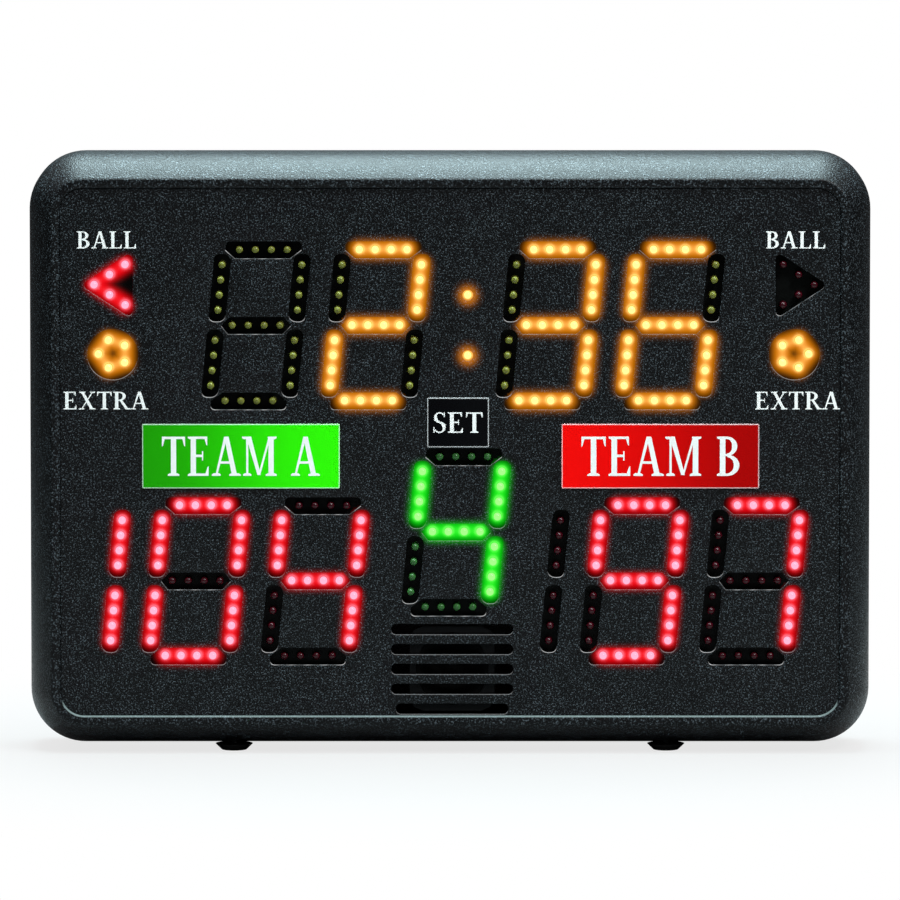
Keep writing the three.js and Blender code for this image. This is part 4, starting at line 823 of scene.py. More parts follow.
# %% Rear half in one skin
def rear_case():
    """The whole rear half as one skin."""
    skin = Skin()
    turns = np.linspace(0, math.pi / 2, 15)
    round_y, inner_round = REAR_Y - REAR_ROUND, REAR_ROUND - WALL
    outside = [(PARTING_BEVEL, PARTING_BEVEL), (2 * PARTING_BEVEL, 0), (round_y / 2, 0)]
    outside += [(round_y + REAR_ROUND * math.sin(a), REAR_ROUND * (1 - math.cos(a))) for a in turns]
    first_out, back = skin.stack(outside, case_outline)
    lip = WALL + FIT
    inside = [
        (PARTING_BEVEL, lip), (0.2 - LIP_REACH, lip), (-LIP_REACH, lip + 0.2),
        (-LIP_REACH, lip + LIP_WALL), (3, lip + LIP_WALL), (3, WALL)]
    inside += [(round_y + inner_round * math.sin(a), inner_round * (1 - math.cos(a)) + WALL) for a in turns]
    first_in, inner = skin.stack(inside, case_outline)
    skin.wall(first_out, first_in)

    through = [(REAR_Y, 0.3), (REAR_Y - 0.3, 0), (REAR_WALL_Y, 0)]
    well = [
        (REAR_Y, WELL_MOUTH + 0.4), (REAR_Y - 0.4, WELL_MOUTH), (WELL_SEAT_Y, WELL_MOUTH),
        (WELL_SEAT_Y, WELL_BORE), (WELL_FOOT_Y, WELL_BORE), (WELL_FOOT_Y, WELL_OUTSIDE),
        (REAR_WALL_Y, WELL_OUTSIDE)]
    reach = TUB_WALL + FIT
    holes = [
        (through, box_at(middle, half_width + reach, half_height + reach, corner + reach, 8))
        for (middle, half_width, half_height), corner in [(grip, GRIP_CORNER), (tray, TRAY_CORNER)]]
    holes += [(through, lambda grow, spot=spot: keyhole_outline(spot, grow)) for spot in keyhole_places]
    holes += [(well, lambda radius, spot=spot: circle(spot, radius, 32)) for spot in screw_places]
    outer_holes, inner_holes = zip(*[skin.stack(sections, outline) for sections, outline in holes])

    door_middle, door_half = (0, (DOOR_TOP + DOOR_BOTTOM) / 2), (DOOR_TOP - DOOR_BOTTOM) / 2
    ledge_y, frame_y = REAR_Y - REBATE, REAR_WALL_Y - FRAME_REACH
    door_hole, ledge = skin.stack(
        [(REAR_Y, 0.3), (REAR_Y - 0.3, 0), (ledge_y, 0)], box_at(door_middle, DOOR_SIDE, door_half, 0.6, 3))
    skin.flat(back, [*outer_holes, door_hole])
    mouth, end = skin.stack([(ledge_y, 0), (frame_y, 0)], box_at(*bay, 0.5, 3))
    skin.flat(ledge, [mouth])
    frame_back, frame_root = skin.stack(
        [(frame_y, 0), (REAR_WALL_Y, 0)],
        box_at(door_middle, DOOR_SIDE + FRAME_WALL, door_half + FRAME_WALL, 0.5, 3))
    skin.flat(frame_back, [end])
    skin.flat(inner, [*inner_holes, frame_root])
    return skin


skin_piece("rear_case", rear_case(), case_plastic, "case", ["rear_housing"], "case_plastic")

# %% [markdown]
# # Lamps
# Each lamp is a 5 mm LED: a coloured lens with a collar at its foot and a dome at its tip. There are
# 290 of them in three colours, lit and dark, but only one shape. So one lamp is drawn as a line whose
# width changes along it, and Geometry Nodes set a copy on every lamp's place. The places carry the
# colours, and the copies keep them.


# %% Lamp lens
def lamp_lens(tree):
    """Colour and glow of a lens, from the colours stored on it and the way from its foot to its tip."""
    tip = tree.attribute("tip", "Fac")
    lit = tree.attribute("lit", "Fac")
    bright = tree.mix(tip.between(0.0, 0.6), tree.attribute("slot"), tree.attribute("core"))
    rim = tip.between(0.74, 0.84) * (1 - 0.6 * tip.between(0.88, 0.97))
    dull = tree.mix(0.3 + 0.7 * rim, (0, 0, 0, 1), tree.attribute("dark"))
    return {
        "Base Color": tree.mix(lit, dull, (0, 0, 0, 1)),
        "Emission Color": tree.mix(lit, (0, 0, 0, 1), bright),
    }


lens_plastic = finish(
    "lamp lens", {"Roughness": 0.25, "Specular IOR Level": 0.3, "Emission Strength": 1.15}, lamp_lens)


# %% Groups of geometry nodes
def node_group(name, **inputs):
    """Empty group of geometry nodes: its tree, and the wires of its points and inputs."""
    group = bpy.data.node_groups.new(name, "GeometryNodeTree")
    group.interface.new_socket("Geometry", in_out="INPUT", socket_type="NodeSocketGeometry")
    for label, value in inputs.items():
        socket = group.interface.new_socket(label, in_out="INPUT", socket_type="NodeSocketFloat")
        socket.default_value = value
    group.interface.new_socket("Geometry", in_out="OUTPUT", socket_type="NodeSocketGeometry")
    tree = Tree(group)
    entry = list(group.nodes.new("NodeGroupInput").outputs)
    return tree, *(Wire(tree, socket) for socket in entry[:1 + len(inputs)])


def set_on_points(tree, points, shape, material, **turned):
    """Ends a group: copies of a shape on the points, made real, smooth and of one material."""
    copies = tree.node(
        "GeometryNodeInstanceOnPoints", sockets={"Points": points, "Instance": shape, **turned})
    real = tree.node("GeometryNodeRealizeInstances", sockets={"Geometry": copies})
    smooth = tree.node("GeometryNodeSetShadeSmooth", sockets={"Geometry": real})
    painted = tree.node("GeometryNodeSetMaterial", sockets={"Geometry": smooth, "Material": material})
    tree.node("NodeGroupOutput", sockets={0: painted})
    return tree.group


# %% Tree of the lamps
def lamp_tree():
    """Geometry nodes that set a lamp on every point."""
    tree, points, radius, height, collar = node_group(
        "lamps", Radius=2.5 * MM, Height=8.9 * MM, Collar=0.35 * MM)
    end = tree.node("ShaderNodeCombineXYZ", sockets={"X": 0.0, "Y": height * -1.0, "Z": 0.0})
    line = tree.node("GeometryNodeCurvePrimitiveLine", sockets={"End": end})
    line = tree.node("GeometryNodeResampleCurve", sockets={"Curve": line, "Count": 17})
    along = tree.node("GeometryNodeSplineParameter")
    shape = [(0, 0), (0.01, 1), (0.125, 1), (0.13, 0.877), (0.7, 0.877), (0.78, 0.85), (0.86, 0.76),
             (0.93, 0.57), (0.975, 0.33), (1, 0)]
    profile = tree.node("ShaderNodeFloatCurve", {"shape": shape}, {"Value": along})
    ring = tree.node("GeometryNodeCurvePrimitiveCircle", sockets={"Resolution": 14, "Radius": 1.0})
    lens = tree.node(
        "GeometryNodeCurveToMesh",
        sockets={"Curve": line, "Profile Curve": ring, "Scale": profile * (radius + collar)})
    depth = tree.axis(tree.node("GeometryNodeInputPosition"), "Y")
    lens = tree.node(
        "GeometryNodeStoreNamedAttribute", {"data_type": "FLOAT", "domain": "POINT"},
        {"Geometry": lens, "Name": "tip", "Value": depth / (height * -1.0)})
    lens = tree.node("GeometryNodeMergeByDistance", sockets={"Geometry": lens, "Distance": 1e-6})
    return set_on_points(tree, points, lens, lens_plastic)


lamps_on_points = lamp_tree()
print("nodes in the lamp tree:", len(lamps_on_points.nodes))


# %% Meshes from geometry nodes
def baked(holder, name):
    """Turns what a modifier makes into a plain mesh, and removes its holder."""
    bpy.context.view_layer.update()
    graph = bpy.context.evaluated_depsgraph_get()
    mesh = bpy.data.meshes.new_from_object(
        holder.evaluated_get(graph), preserve_all_data_layers=True, depsgraph=graph)
    mesh.name = name
    bpy.data.objects.remove(holder)
    return mesh


def grown_by_nodes(name, points, group, inputs=(), layers=()):
    """Runs a node tree on loose points in millimetres, and returns its mesh."""
    cloud = bpy.data.meshes.new(name)
    cloud.from_pydata([[MM * v for v in point] for point in points], [], [])
    for layer, kind, values in layers:
        made = cloud.attributes.new(layer, kind, "POINT")
        made.data.foreach_set("value" if kind == "FLOAT" else "color", np.ravel(values))
    holder = bpy.data.objects.new(name, cloud)
    scene.collection.objects.link(holder)
    modifier = holder.modifiers.new(name, "NODES")
    modifier.node_group = group
    sockets = {item.name: item.identifier for item in group.interface.items_tree if item.in_out == "INPUT"}
    for socket, value in inputs:
        modifier[sockets[socket]] = value
    return baked(holder, name)


# %% [markdown]
# # Boards
# The lamps stand on black circuit boards behind the panel. Only the strips behind the windows show,
# so a board is finely divided there and nowhere else. That is enough for the glow to pool round each
# lit lamp and to leave the middle of a ring dark.


# %% Boards with their lamps
def board_lacquer(tree):
    """Black solder lacquer, a little uneven, with the lamps' glow on it."""
    cloud = tree.noise(3.0, 3.0)
    return {
        "Base Color": tree.mix(cloud, ink(4, 5, 5), ink(11, 13, 12)),
        "Roughness": 0.34 + 0.2 * cloud,
        "Normal": tree.bump(cloud, 0.05, 0.5),
        "Emission Color": tree.attribute("glow"),
    }


board_black = finish(
    "black board lacquer", {"Specular IOR Level": 0.08, "Emission Strength": 1.0}, board_lacquer)
GRID_STEP, GRID_REACH = 1.5, 3
SPOT_RINGS = (2.7, 3.3, 3.9, 4.6)
LAMP_FOOT_Y = BOARD_Y + 0.3
BOARDS = ["clock", "home_score", "guest_score", "period", "home_indicator", "guest_indicator"]


def board_body(board):
    """Circuit board with a fine mesh behind its lit windows."""
    low, high = (np.array([corner.x, corner.z]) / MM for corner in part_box(board + "_led_board"))
    middle, half = (low + high) / 2, (high - low) / 2
    spots = []
    for window in windows:
        outline = window["outline"]
        if window["hue"] and (np.abs(outline.mean(0) - middle) < half).all():
            starts, ends = outline.min(0) - GRID_REACH, outline.max(0) + GRID_REACH
            columns, rows = (np.arange(start, end, GRID_STEP) for start, end in zip(starts, ends))
            grid = np.stack(np.meshgrid(columns, rows), -1).reshape(-1, 2)
            spots.append(grid[distance_to_outline(grid, outline) < GRID_REACH + 0.4])
    for lamp in lamps:
        if lamp["lit"] and lamp["board"] == board:
            spots += [circle(lamp["at"], radius, 12) for radius in SPOT_RINGS]
    skin = Skin()
    sections = [(BOARD_BACK_Y, 0), (BOARD_Y + 0.1, 0), (BOARD_Y, 0.1)]
    back, face = skin.stack(sections, lambda inset: rounded_box(middle, *(half - inset), 1, 3))
    skin.flat(face, [], np.concatenate(spots) if spots else [])
    skin.lid(back)
    mesh = clean_mesh(board + "_board", skin.points, skin.faces)
    add_glow(mesh, 0.95, 0, board=True)
    return mesh


for board in BOARDS:
    add_piece(board + "_board", board_body(board), board_black, "case", [board + "_led_board"], "led_board")
    mine = [lamp for lamp in lamps if lamp["board"] == board]
    layers = [("lit", "FLOAT", [float(lamp["lit"]) for lamp in mine])]
    for key in ("slot", "core", "dark"):
        layers.append((key, "FLOAT_COLOR", [HUES[lamp["hue"]][key] for lamp in mine]))
    feet = [(x, LAMP_FOOT_Y, z) for x, z in (lamp["at"] for lamp in mine)]
    mesh = grown_by_nodes(board + "_lamps", feet, lamps_on_points, layers=layers)
    add_piece(board + "_lamps", mesh, None, "case", slot="led_board")

# %% [markdown]
# # Letters
# The plates and labels carry white serif capitals. A font would have to be on the reader's computer,
# so the few letters that are needed are drawn here from strokes, the way a sign writer builds them:
# thick stems, thin hairlines and flat feet. The strokes of a letter overlap, and a triangulation
# joins them into one flat shape before it gets its thickness.


# %% Strokes
def bar(start, end, width, width_end=None):
    """Straight stroke with its ends cut level."""
    a, b = np.array(start, float), np.array(end, float)
    w, v = width / 2, (width if width_end is None else width_end) / 2
    if abs(b[1] - a[1]) > abs(b[0] - a[0]) * 0.3:
        return [(a[0] - w, a[1]), (a[0] + w, a[1]), (b[0] + v, b[1]), (b[0] - v, b[1])]
    return [(a[0], a[1] - w), (b[0], b[1] - v), (b[0], b[1] + v), (a[0], a[1] + w)]


def bow(centre, size, turn_from, turn_to, thin, thick, heavy_at):
    """Curved stroke, thickest where it turns past heavy_at degrees."""
    outer, inner = [], []
    for angle in np.radians(np.linspace(turn_from, turn_to, 19)):
        width = thin + (thick - thin) * max(0, math.cos(angle - math.radians(heavy_at))) ** 1.6
        direction = np.array([math.cos(angle), math.sin(angle)])
        place = np.array(centre) + np.array(size) * direction
        outer.append(tuple(place))
        inner.append(tuple(np.array(centre) + (np.array(size) - width) * direction))
    return outer + inner[::-1]


STEM, HAIR, FOOT, LETTER_GAP = 0.155, 0.062, 0.04, 0.04


def foot(x, z, reach):
    """Flat serif under or over a stem."""
    lean = FOOT if z < 0.5 else -FOOT
    return [(x - reach, z), (x + reach, z), (x + reach, z + lean), (x + reach * 0.6, z + 1.7 * lean),
            (x - reach * 0.6, z + 1.7 * lean), (x - reach, z + lean)]


def spur(x, z, drop, lean):
    """Pointed end of an arm."""
    return [(x, z), (x, z + drop), (x - lean, z + drop * 0.9), (x - 3.4 * lean, z)]


# %% Letters from strokes
UPRIGHT = bar((0.17, 0), (0.17, 1), STEM)
LETTERS = {
    " ": (0.34, []),
    "A": (0.84, [bar((0.12, 0), (0.40, 1), HAIR, 0.09), bar((0.66, 0), (0.42, 1), STEM, 0.13),
                 bar((0.2, 0.34), (0.6, 0.34), HAIR), foot(0.12, 0, 0.13), foot(0.67, 0, 0.17)]),
    "B": (0.7, [UPRIGHT, foot(0.15, 0, 0.14), foot(0.15, 1, 0.14),
                bow((0.3, 0.755), (0.28, 0.245), -90, 90, HAIR, 0.15, 0),
                bow((0.3, 0.27), (0.34, 0.27), -90, 90, HAIR, 0.16, 0),
                bar((0.15, 0.03), (0.31, 0.03), HAIR), bar((0.15, 0.97), (0.31, 0.97), HAIR),
                bar((0.15, 0.53), (0.31, 0.53), 0.058)]),
    "E": (0.68, [UPRIGHT, foot(0.15, 0, 0.14), foot(0.15, 1, 0.14),
                 bar((0.15, 0.03), (0.6, 0.03), HAIR), bar((0.15, 0.97), (0.58, 0.97), HAIR),
                 bar((0.15, 0.51), (0.44, 0.51), HAIR), spur(0.62, 0, 0.25, 0.035),
                 spur(0.58, 1, -0.23, 0.03), bar((0.44, 0.39), (0.44, 0.63), 0.035)]),
    "L": (0.66, [UPRIGHT, foot(0.15, 0, 0.14), foot(0.17, 1, 0.17),
                 bar((0.15, 0.03), (0.58, 0.03), HAIR), spur(0.61, 0, 0.27, 0.035)]),
    "M": (1.02, [bar((0.15, 0), (0.15, 1), HAIR), bar((0.19, 1), (0.5, 0.02), 0.15, 0.1),
                 bar((0.81, 1), (0.5, 0.02), HAIR, 0.06), bar((0.85, 0), (0.85, 1), STEM),
                 foot(0.15, 0, 0.12), foot(0.85, 0, 0.16), foot(0.13, 1, 0.13), foot(0.88, 1, 0.13)]),
    "R": (0.78, [UPRIGHT, foot(0.17, 0, 0.16), foot(0.15, 1, 0.14),
                 bow((0.3, 0.745), (0.3, 0.255), -90, 90, HAIR, 0.155, 0),
                 bar((0.15, 0.97), (0.31, 0.97), HAIR), bar((0.15, 0.52), (0.31, 0.52), 0.058),
                 bar((0.66, 0), (0.36, 0.53), 0.16, 0.12), foot(0.69, 0, 0.12)]),
    "S": (0.58, [bow((0.285, 0.745), (0.225, 0.265), 35, 262, HAIR, 0.13, 200),
                 bow((0.285, 0.27), (0.25, 0.28), -150, 85, HAIR, 0.14, 20),
                 bar((0.12, 0.62), (0.48, 0.4), 0.17), bar((0.48, 0.76), (0.48, 1.0), 0.04),
                 bar((0.055, 0.0), (0.055, 0.28), 0.04)]),
    "T": (0.74, [bar((0.37, 0), (0.37, 1), STEM), foot(0.37, 0, 0.17),
                 bar((0.03, 0.967), (0.71, 0.967), HAIR), spur(0.71, 1, -0.26, 0.03),
                 [(0.03, 1), (0.03, 0.74), (0.06, 0.765), (0.13, 1)]]),
    "X": (0.8, [bar((0.63, 0), (0.17, 1), STEM, STEM), bar((0.14, 0), (0.66, 1), HAIR, HAIR),
                foot(0.65, 0, 0.15), foot(0.14, 0, 0.13), foot(0.17, 1, 0.15), foot(0.66, 1, 0.12)]),
}
print("letters", "".join(LETTERS))


# %% Words
def word_mesh(name, word, middle, width, height, back_y, front_y):
    """Raised word, as wide and as high as asked, centred on a place of the front."""
    strokes, at = [], 0
    for letter in word:
        advance, shapes = LETTERS[letter]
        strokes += [[(at + x, z) for x, z in shape] for shape in shapes]
        at += advance + LETTER_GAP
    every = np.array([point for stroke in strokes for point in stroke])
    low, high = every.min(0), every.max(0)
    scale = np.array([width, height]) / (high - low)
    flat_points, loops = [], []
    for stroke in strokes:
        placed = (np.array(stroke) - (low + high) / 2) * scale + middle
        turn = placed[:, 0] @ np.roll(placed[:, 1], -1) - placed[:, 1] @ np.roll(placed[:, 0], -1)
        loops.append(list(range(len(flat_points), len(flat_points) + len(placed))))
        flat_points += [Vector(point) for point in (placed if turn > 0 else placed[::-1])]
    made = geometry.delaunay_2d_cdt(flat_points, [], loops, 0, 1e-4)
    kept = [list(face) for face, origins in zip(made[2], made[5]) if origins]
    count = len(made[0])
    points = [(p.x, front_y, p.y) for p in made[0]] + [(p.x, back_y, p.y) for p in made[0]]
    edges = {(face[i], face[(i + 1) % len(face)]) for face in kept for i in range(len(face))}
    sides = [(a, b, b + count, a + count) for a, b in edges if (b, a) not in edges]
    backs = [[i + count for i in reversed(face)] for face in kept]
    return clean_mesh(name, points, kept + backs + sides)


# %% [markdown]
# # Name plates
# The plates are printed sheets glued to the panel. Their colour runs from dark to bright across the
# plate, and a thin lighter line frames them. The run of colour depends on the place along the plate,
# so it is worked out from Object coordinates, and needs no picture.


# %% Print and ink of the plates
PLATE_FRONT_Y = FRONT_Y + 0.1
FRAME_START, FRAME_END = 0.4 * MM, 0.9 * MM


def printed_sheet(low, high, dark, bright):
    """Printed colour that runs from left to right, inside a thin light frame."""

    def varying(tree):
        place = tree.place()
        x, z = tree.axis(place, "X"), tree.axis(place, "Z")
        across = (x - low.x) / (high.x - low.x)
        to_edge = (0.5 * (high.x - low.x) - (x - 0.5 * (high.x + low.x)).math("ABSOLUTE")).math(
            "MINIMUM", 0.5 * (high.z - low.z) - (z - 0.5 * (high.z + low.z)).math("ABSOLUTE"))
        grain = tree.noise(0.8, 2.0, 0.5, place)
        run = tree.mix(across.between(0, 1), dark, bright)
        inked = tree.mix(0.08 * grain, run, (0, 0, 0, 1))
        lighter = tree.mix(0.45, run, (1, 1, 1, 1))
        return {
            "Base Color": tree.mix(1 - to_edge.between(FRAME_START, FRAME_END), inked, lighter),
            "Roughness": 0.32 + 0.1 * grain,
            "Normal": tree.bump(grain, 0.01, 0.4),
        }

    return varying


def letter_ink(tree):
    """White ink with a faint grain."""
    grain = tree.noise(0.9)
    return {
        "Base Color": tree.mix(grain, ink(236, 236, 232), ink(250, 250, 248)),
        "Roughness": 0.42 + 0.15 * grain,
    }


white_ink = finish("white ink", {}, letter_ink)

# %% Name plates
PLATES = [
    ("home_name_plate", ink(30, 156, 6), ink(50, 248, 6), "green_plate", "TEAM A", (106, 26.5)),
    ("guest_name_plate", ink(250, 8, 6), ink(170, 3, 3), "red_plate", "TEAM B", (106, 26.5)),
    ("period_name_plate", ink(4, 4, 6), ink(8, 8, 10), "black_gloss_plastic", "SET", (33, 14)),
]
for node, left, right, slot, word, (width, height) in PLATES:
    low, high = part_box(node)
    middle, half_width, half_height = middle_and_halves(low, high, 0)
    skin = Skin()
    plate_back = high.y / MM
    back, face = skin.stack(
        [(plate_back, -0.1), (plate_back - 0.1, 0), (PLATE_FRONT_Y + 0.15, 0), (PLATE_FRONT_Y, -0.15)],
        box_at(middle, half_width, half_height, 1, 5))
    skin.flat(face)
    skin.flat(back)
    print_run = printed_sheet(low, high, left, right)
    printed = finish(node.replace("_", " "), {"Specular IOR Level": 0.06}, print_run)
    add_piece(node + "_sheet", clean_mesh(node, skin.points, skin.faces), printed, "case", [node], slot)
    lettering = word_mesh(node + "_word", word, middle, width, height, PLATE_FRONT_Y - 0.02, FRONT_Y)
    add_piece(node + "_word", lettering, white_ink, "case")

# %% Labels beside the indicators
for name, word, (px, pz), (width, height) in [
    ("home_ball_label", "BALL", (-230.2, 346.6), (39.6, 11.5)),
    ("guest_ball_label", "BALL", (231.5, 346.6), (39.6, 11.5)),
    ("home_extra_label", "EXTRA", (-230.8, 238.6), (57, 11.9)),
    ("guest_extra_label", "EXTRA", (233.3, 238.6), (57, 11.9)),
]:
    mesh = word_mesh(name, word, (px, pz), width, height, PANEL_Y - 0.01, PANEL_Y - 0.07)
    add_piece(name, mesh, white_ink, "case")

# %% [markdown]
# # Finishes of the small parts
# Most small parts are one material with a slight unevenness: rubber has a fine bloom, zinc plating
# has clouds, polished plastic has dust. One function covers them all, and takes the two colours
# between which the part varies. The parts that stay as they came from the model get these too.


# %% Mottled, striped and etched finishes
def mottled_finish(name, constants, dark, light, size, roughness, depth):
    """Finish that varies between two colours, with lumps of a size and a bump of a depth in mm."""

    def varying(tree):
        cloud = tree.noise(size, 3.0)
        return {
            "Base Color": tree.mix(cloud.between(0.3, 0.7), ink(*dark), ink(*light)),
            "Roughness": roughness + 0.16 * (cloud - 0.5),
            "Normal": tree.bump(cloud, depth, 0.6),
        }

    return finish(name, constants, varying)


WIRE_PITCH, TRACK_CELL = 1.27, 5


def striped_cable(tree):
    """Grey flat cable: a fine rib for each of its wires, wherever the cable runs."""
    place = tree.place()
    x, z = tree.axis(place, "X"), tree.axis(place, "Z")
    rib = ((x + z) * (2 * math.pi / (WIRE_PITCH * MM))).math("SINE") * 0.5 + 0.5
    return {
        # The colour follows the ribs: the grooves between the wires are painted darker, as painted shade.
        "Base Color": tree.mix(rib, ink(112, 116, 120), ink(158, 162, 166)),
        "Roughness": 0.5 + 0.1 * rib,
        "Normal": tree.bump(rib, 0.1, 0.6),
    }


def etched_board(tree):
    """Green lacquer over copper tracks."""
    cells = tree.node(
        "ShaderNodeTexVoronoi", {"feature": "DISTANCE_TO_EDGE", "distance": "CHEBYCHEV"},
        {"Vector": tree.place(), "Scale": 1 / (TRACK_CELL * MM), "Randomness": 0.7})
    track = 1 - cells.between(0.05, 0.11)
    return {
        "Base Color": tree.mix(track, ink(18, 74, 40), ink(44, 122, 66)),
        "Roughness": 0.38 + 0.15 * track,
        "Normal": tree.bump(track, 0.05, 0.6),
    }


# %% Finishes of the small parts
metal = {"Metallic": 1.0}
gloss_black = mottled_finish("polished black plastic", {}, (5, 5, 6), (13, 13, 15), 7, 0.26, 0.01)
dim = {"Specular IOR Level": 0.2}
rubber = mottled_finish("foot rubber", dim, (9, 9, 9), (22, 22, 22), 0.7, 0.82, 0.06)
zinc = mottled_finish("zinc plated steel", metal, (150, 152, 156), (196, 198, 202), 2.5, 0.34, 0.01)
nickel = mottled_finish("nickel", metal, (178, 172, 160), (212, 206, 194), 4, 0.26, 0.005)
BETTER = {
    "case_plastic": case_plastic,
    "led_board": board_black,
    "black_gloss_plastic": gloss_black,
    "foot_rubber": rubber,
    "plated_steel": zinc,
    "nickel": nickel,
    "black_steel": mottled_finish(
        "black lacquered sheet", {"Specular IOR Level": 0.1}, (3, 3, 4), (8, 8, 9), 3, 0.6, 0.02),
    "paper_cone": mottled_finish(
        "cone paper", {"Specular IOR Level": 0.05}, (3, 3, 3), (9, 9, 9), 1.2, 0.95, 0.1),
    "bare_aluminium": mottled_finish("aluminium", metal, (168, 170, 174), (205, 207, 210), 3, 0.38, 0.02),
    "ferrite": mottled_finish("ferrite", {}, (26, 26, 28), (48, 47, 48), 1.5, 0.7, 0.08),
    "chip_resin": mottled_finish("chip resin", {}, (12, 13, 14), (24, 25, 26), 0.6, 0.5, 0.03),
    "green_resin": finish("green board lacquer", {}, etched_board),
    "grey_ribbon": finish("grey flat cable", {}, striped_cable),
}
for thing in scene.objects:
    for held in thing.material_slots:
        if held.material and held.material.name in BETTER:
            held.material = BETTER[held.material.name]
print("better finishes:", len(BETTER))

# %% [markdown]
# # Turned parts
# Feet, screws and sockets are turned on a lathe or could be. They come from a profile of (radius,
# distance) pairs that goes round an axis. The same skin takes them, so a part can join a turned barrel
# and a milled lid in one body.


# %% Turned parts
def turn(skin, profile, origin, along, sides=40, closed=False):
    """Adds a profile turned about an axis through the origin to a skin."""
    along = Vector(along)
    across = along.orthogonal().normalized()
    up = along.cross(across)
    rings = []
    for radius, distance in profile:
        first = len(skin.points)
        for k in range(sides):
            angle = 2 * math.pi * k / sides
            offset = along * distance + (across * math.cos(angle) + up * math.sin(angle)) * radius
            skin.points.append(tuple(Vector(origin) + offset))
        rings.append(list(range(first, first + sides)))
    skin.wall(*rings, *(rings[:1] if closed else []))
    return skin


def block(skin, low, high, bevel=0.3):
    """Adds a plain block with bevelled edges to a skin."""
    middle = ((low[0] + high[0]) / 2, (low[2] + high[2]) / 2)
    half = ((high[0] - low[0]) / 2, (high[2] - low[2]) / 2)
    sections = [(low[1], bevel), (low[1] + bevel, 0), (high[1] - bevel, 0), (high[1], bevel)]
    first, last = skin.stack(
        sections, lambda inset: rounded_box(middle, half[0] - inset, half[1] - inset, 0.3, 2))
    skin.lid(first)
    skin.lid(last)
    return skin


def moved(skin, place):
    """Moves every point of a skin by a rule."""
    skin.points = [place(*point) for point in skin.points]
    return skin


def middle_of(node):
    """Middle of a solid of the model, in millimetres."""
    low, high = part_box(node)
    return [(a + b) / 2 / MM for a, b in zip(low, high)]


# %% Feet
FEET = ["front_left", "front_right", "rear_left", "rear_right"]
FOOT_PROFILE = [
    (2.3, 2.7), (4.2, 2.7), (4.2, 0.4), (4.5, 0.05), (4.9, 0), (7.9, 0), (8.35, 0.1), (8.7, 0.4),
    (12.35, 3.9), (12.6, 4.15), (12.4, 4.3), (2.3, 4.3)]
for foot_name in FEET:
    x, y, _ = middle_of(foot_name + "_foot")
    origin = (x, y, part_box(foot_name + "_foot")[0].z / MM)
    skin = turn(Skin(), FOOT_PROFILE, origin, (0, 0, 1), 64, closed=True)
    skin_piece(foot_name + "_rubber", skin, rubber, "case", [foot_name + "_foot"], "foot_rubber")

# %% Screws
THREAD_PITCH = 1.2
CASE_SCREW, FOOT_SCREW = (3.3, 2.4, 1.75, 15.9), (3.6, 1.6, 1.9, 7.3)


def screw(head, height, shank, length):
    """Screw with a domed head and a cross in it. Its head looks along Y from the origin."""
    skin = Skin()
    arm, slit = 0.46 * head, 0.12 * head
    cross = []
    for k in range(4):
        c, s = math.cos(math.pi * k / 2), math.sin(math.pi * k / 2)
        cross += [(c * x - s * z, s * x + c * z) for x, z in [(slit, -slit), (arm, -slit), (arm, slit)]]
    cross = np.array(cross)
    bevel = 0.06 * head
    dome = [(0, 0.62), (-0.05 * height, 0.74), (-0.2 * height, 0.9), (-0.42 * height, 0.985),
            (-0.55 * height, 1), (-height, 1)]
    first, seat = skin.stack([(y, head * r) for y, r in dome], lambda radius: circle((0, 0), radius, 32))
    mouth, end = skin.stack(
        [(0, bevel), (-bevel, 0), (-0.5 * height, -bevel)], lambda out: grown(cross, out))
    skin.flat(first, [mouth])
    skin.lid(end)
    threads = [(-height, shank)]
    for k in range(int((length - 2) / THREAD_PITCH)):
        at = -height - THREAD_PITCH / 2 - THREAD_PITCH * k
        threads += [(at, shank * 0.82), (at - THREAD_PITCH / 2, shank)]
    threads += [(THREAD_PITCH - height - length, shank * 0.8), (-height - length, 0.2)]
    top, point = skin.stack(threads, lambda radius: circle((0, 0), radius, 32))
    skin.wall(seat, top)
    skin.lid(point)
    return skin


for number in range(1, 9):
    name = f"case_screw_{number}"
    (x, _, z), y = middle_of(name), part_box(name)[1].y / MM
    skin = moved(screw(*CASE_SCREW), lambda a, b, c: (a + x, b + y, c + z))
    skin_piece(name + "_body", skin, zinc, "case", [name], "plated_steel")
for name in [foot_name + "_foot_screw" for foot_name in FEET]:
    (x, y, _), z = middle_of(name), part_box(name)[0].z / MM
    skin = moved(screw(*FOOT_SCREW), lambda a, b, c: (x + a, y + c, z - b))
    skin_piece(name + "_body", skin, zinc, "case", [name], "plated_steel")

# %% [markdown]
# # Tubs in the back
# The hand grip, the control tray and the battery box are separate mouldings that sit in openings of
# the rear half. Each is a tub with a flange that lies against the inside of the wall. A fillet runs
# round its floor, because a moulded corner is never sharp.


# %% Tubs in the back
FLANGE_THICKNESS, FLOOR_ROUND = 2, 2
TUB_FLANGE_Y = REAR_WALL_Y - FIT


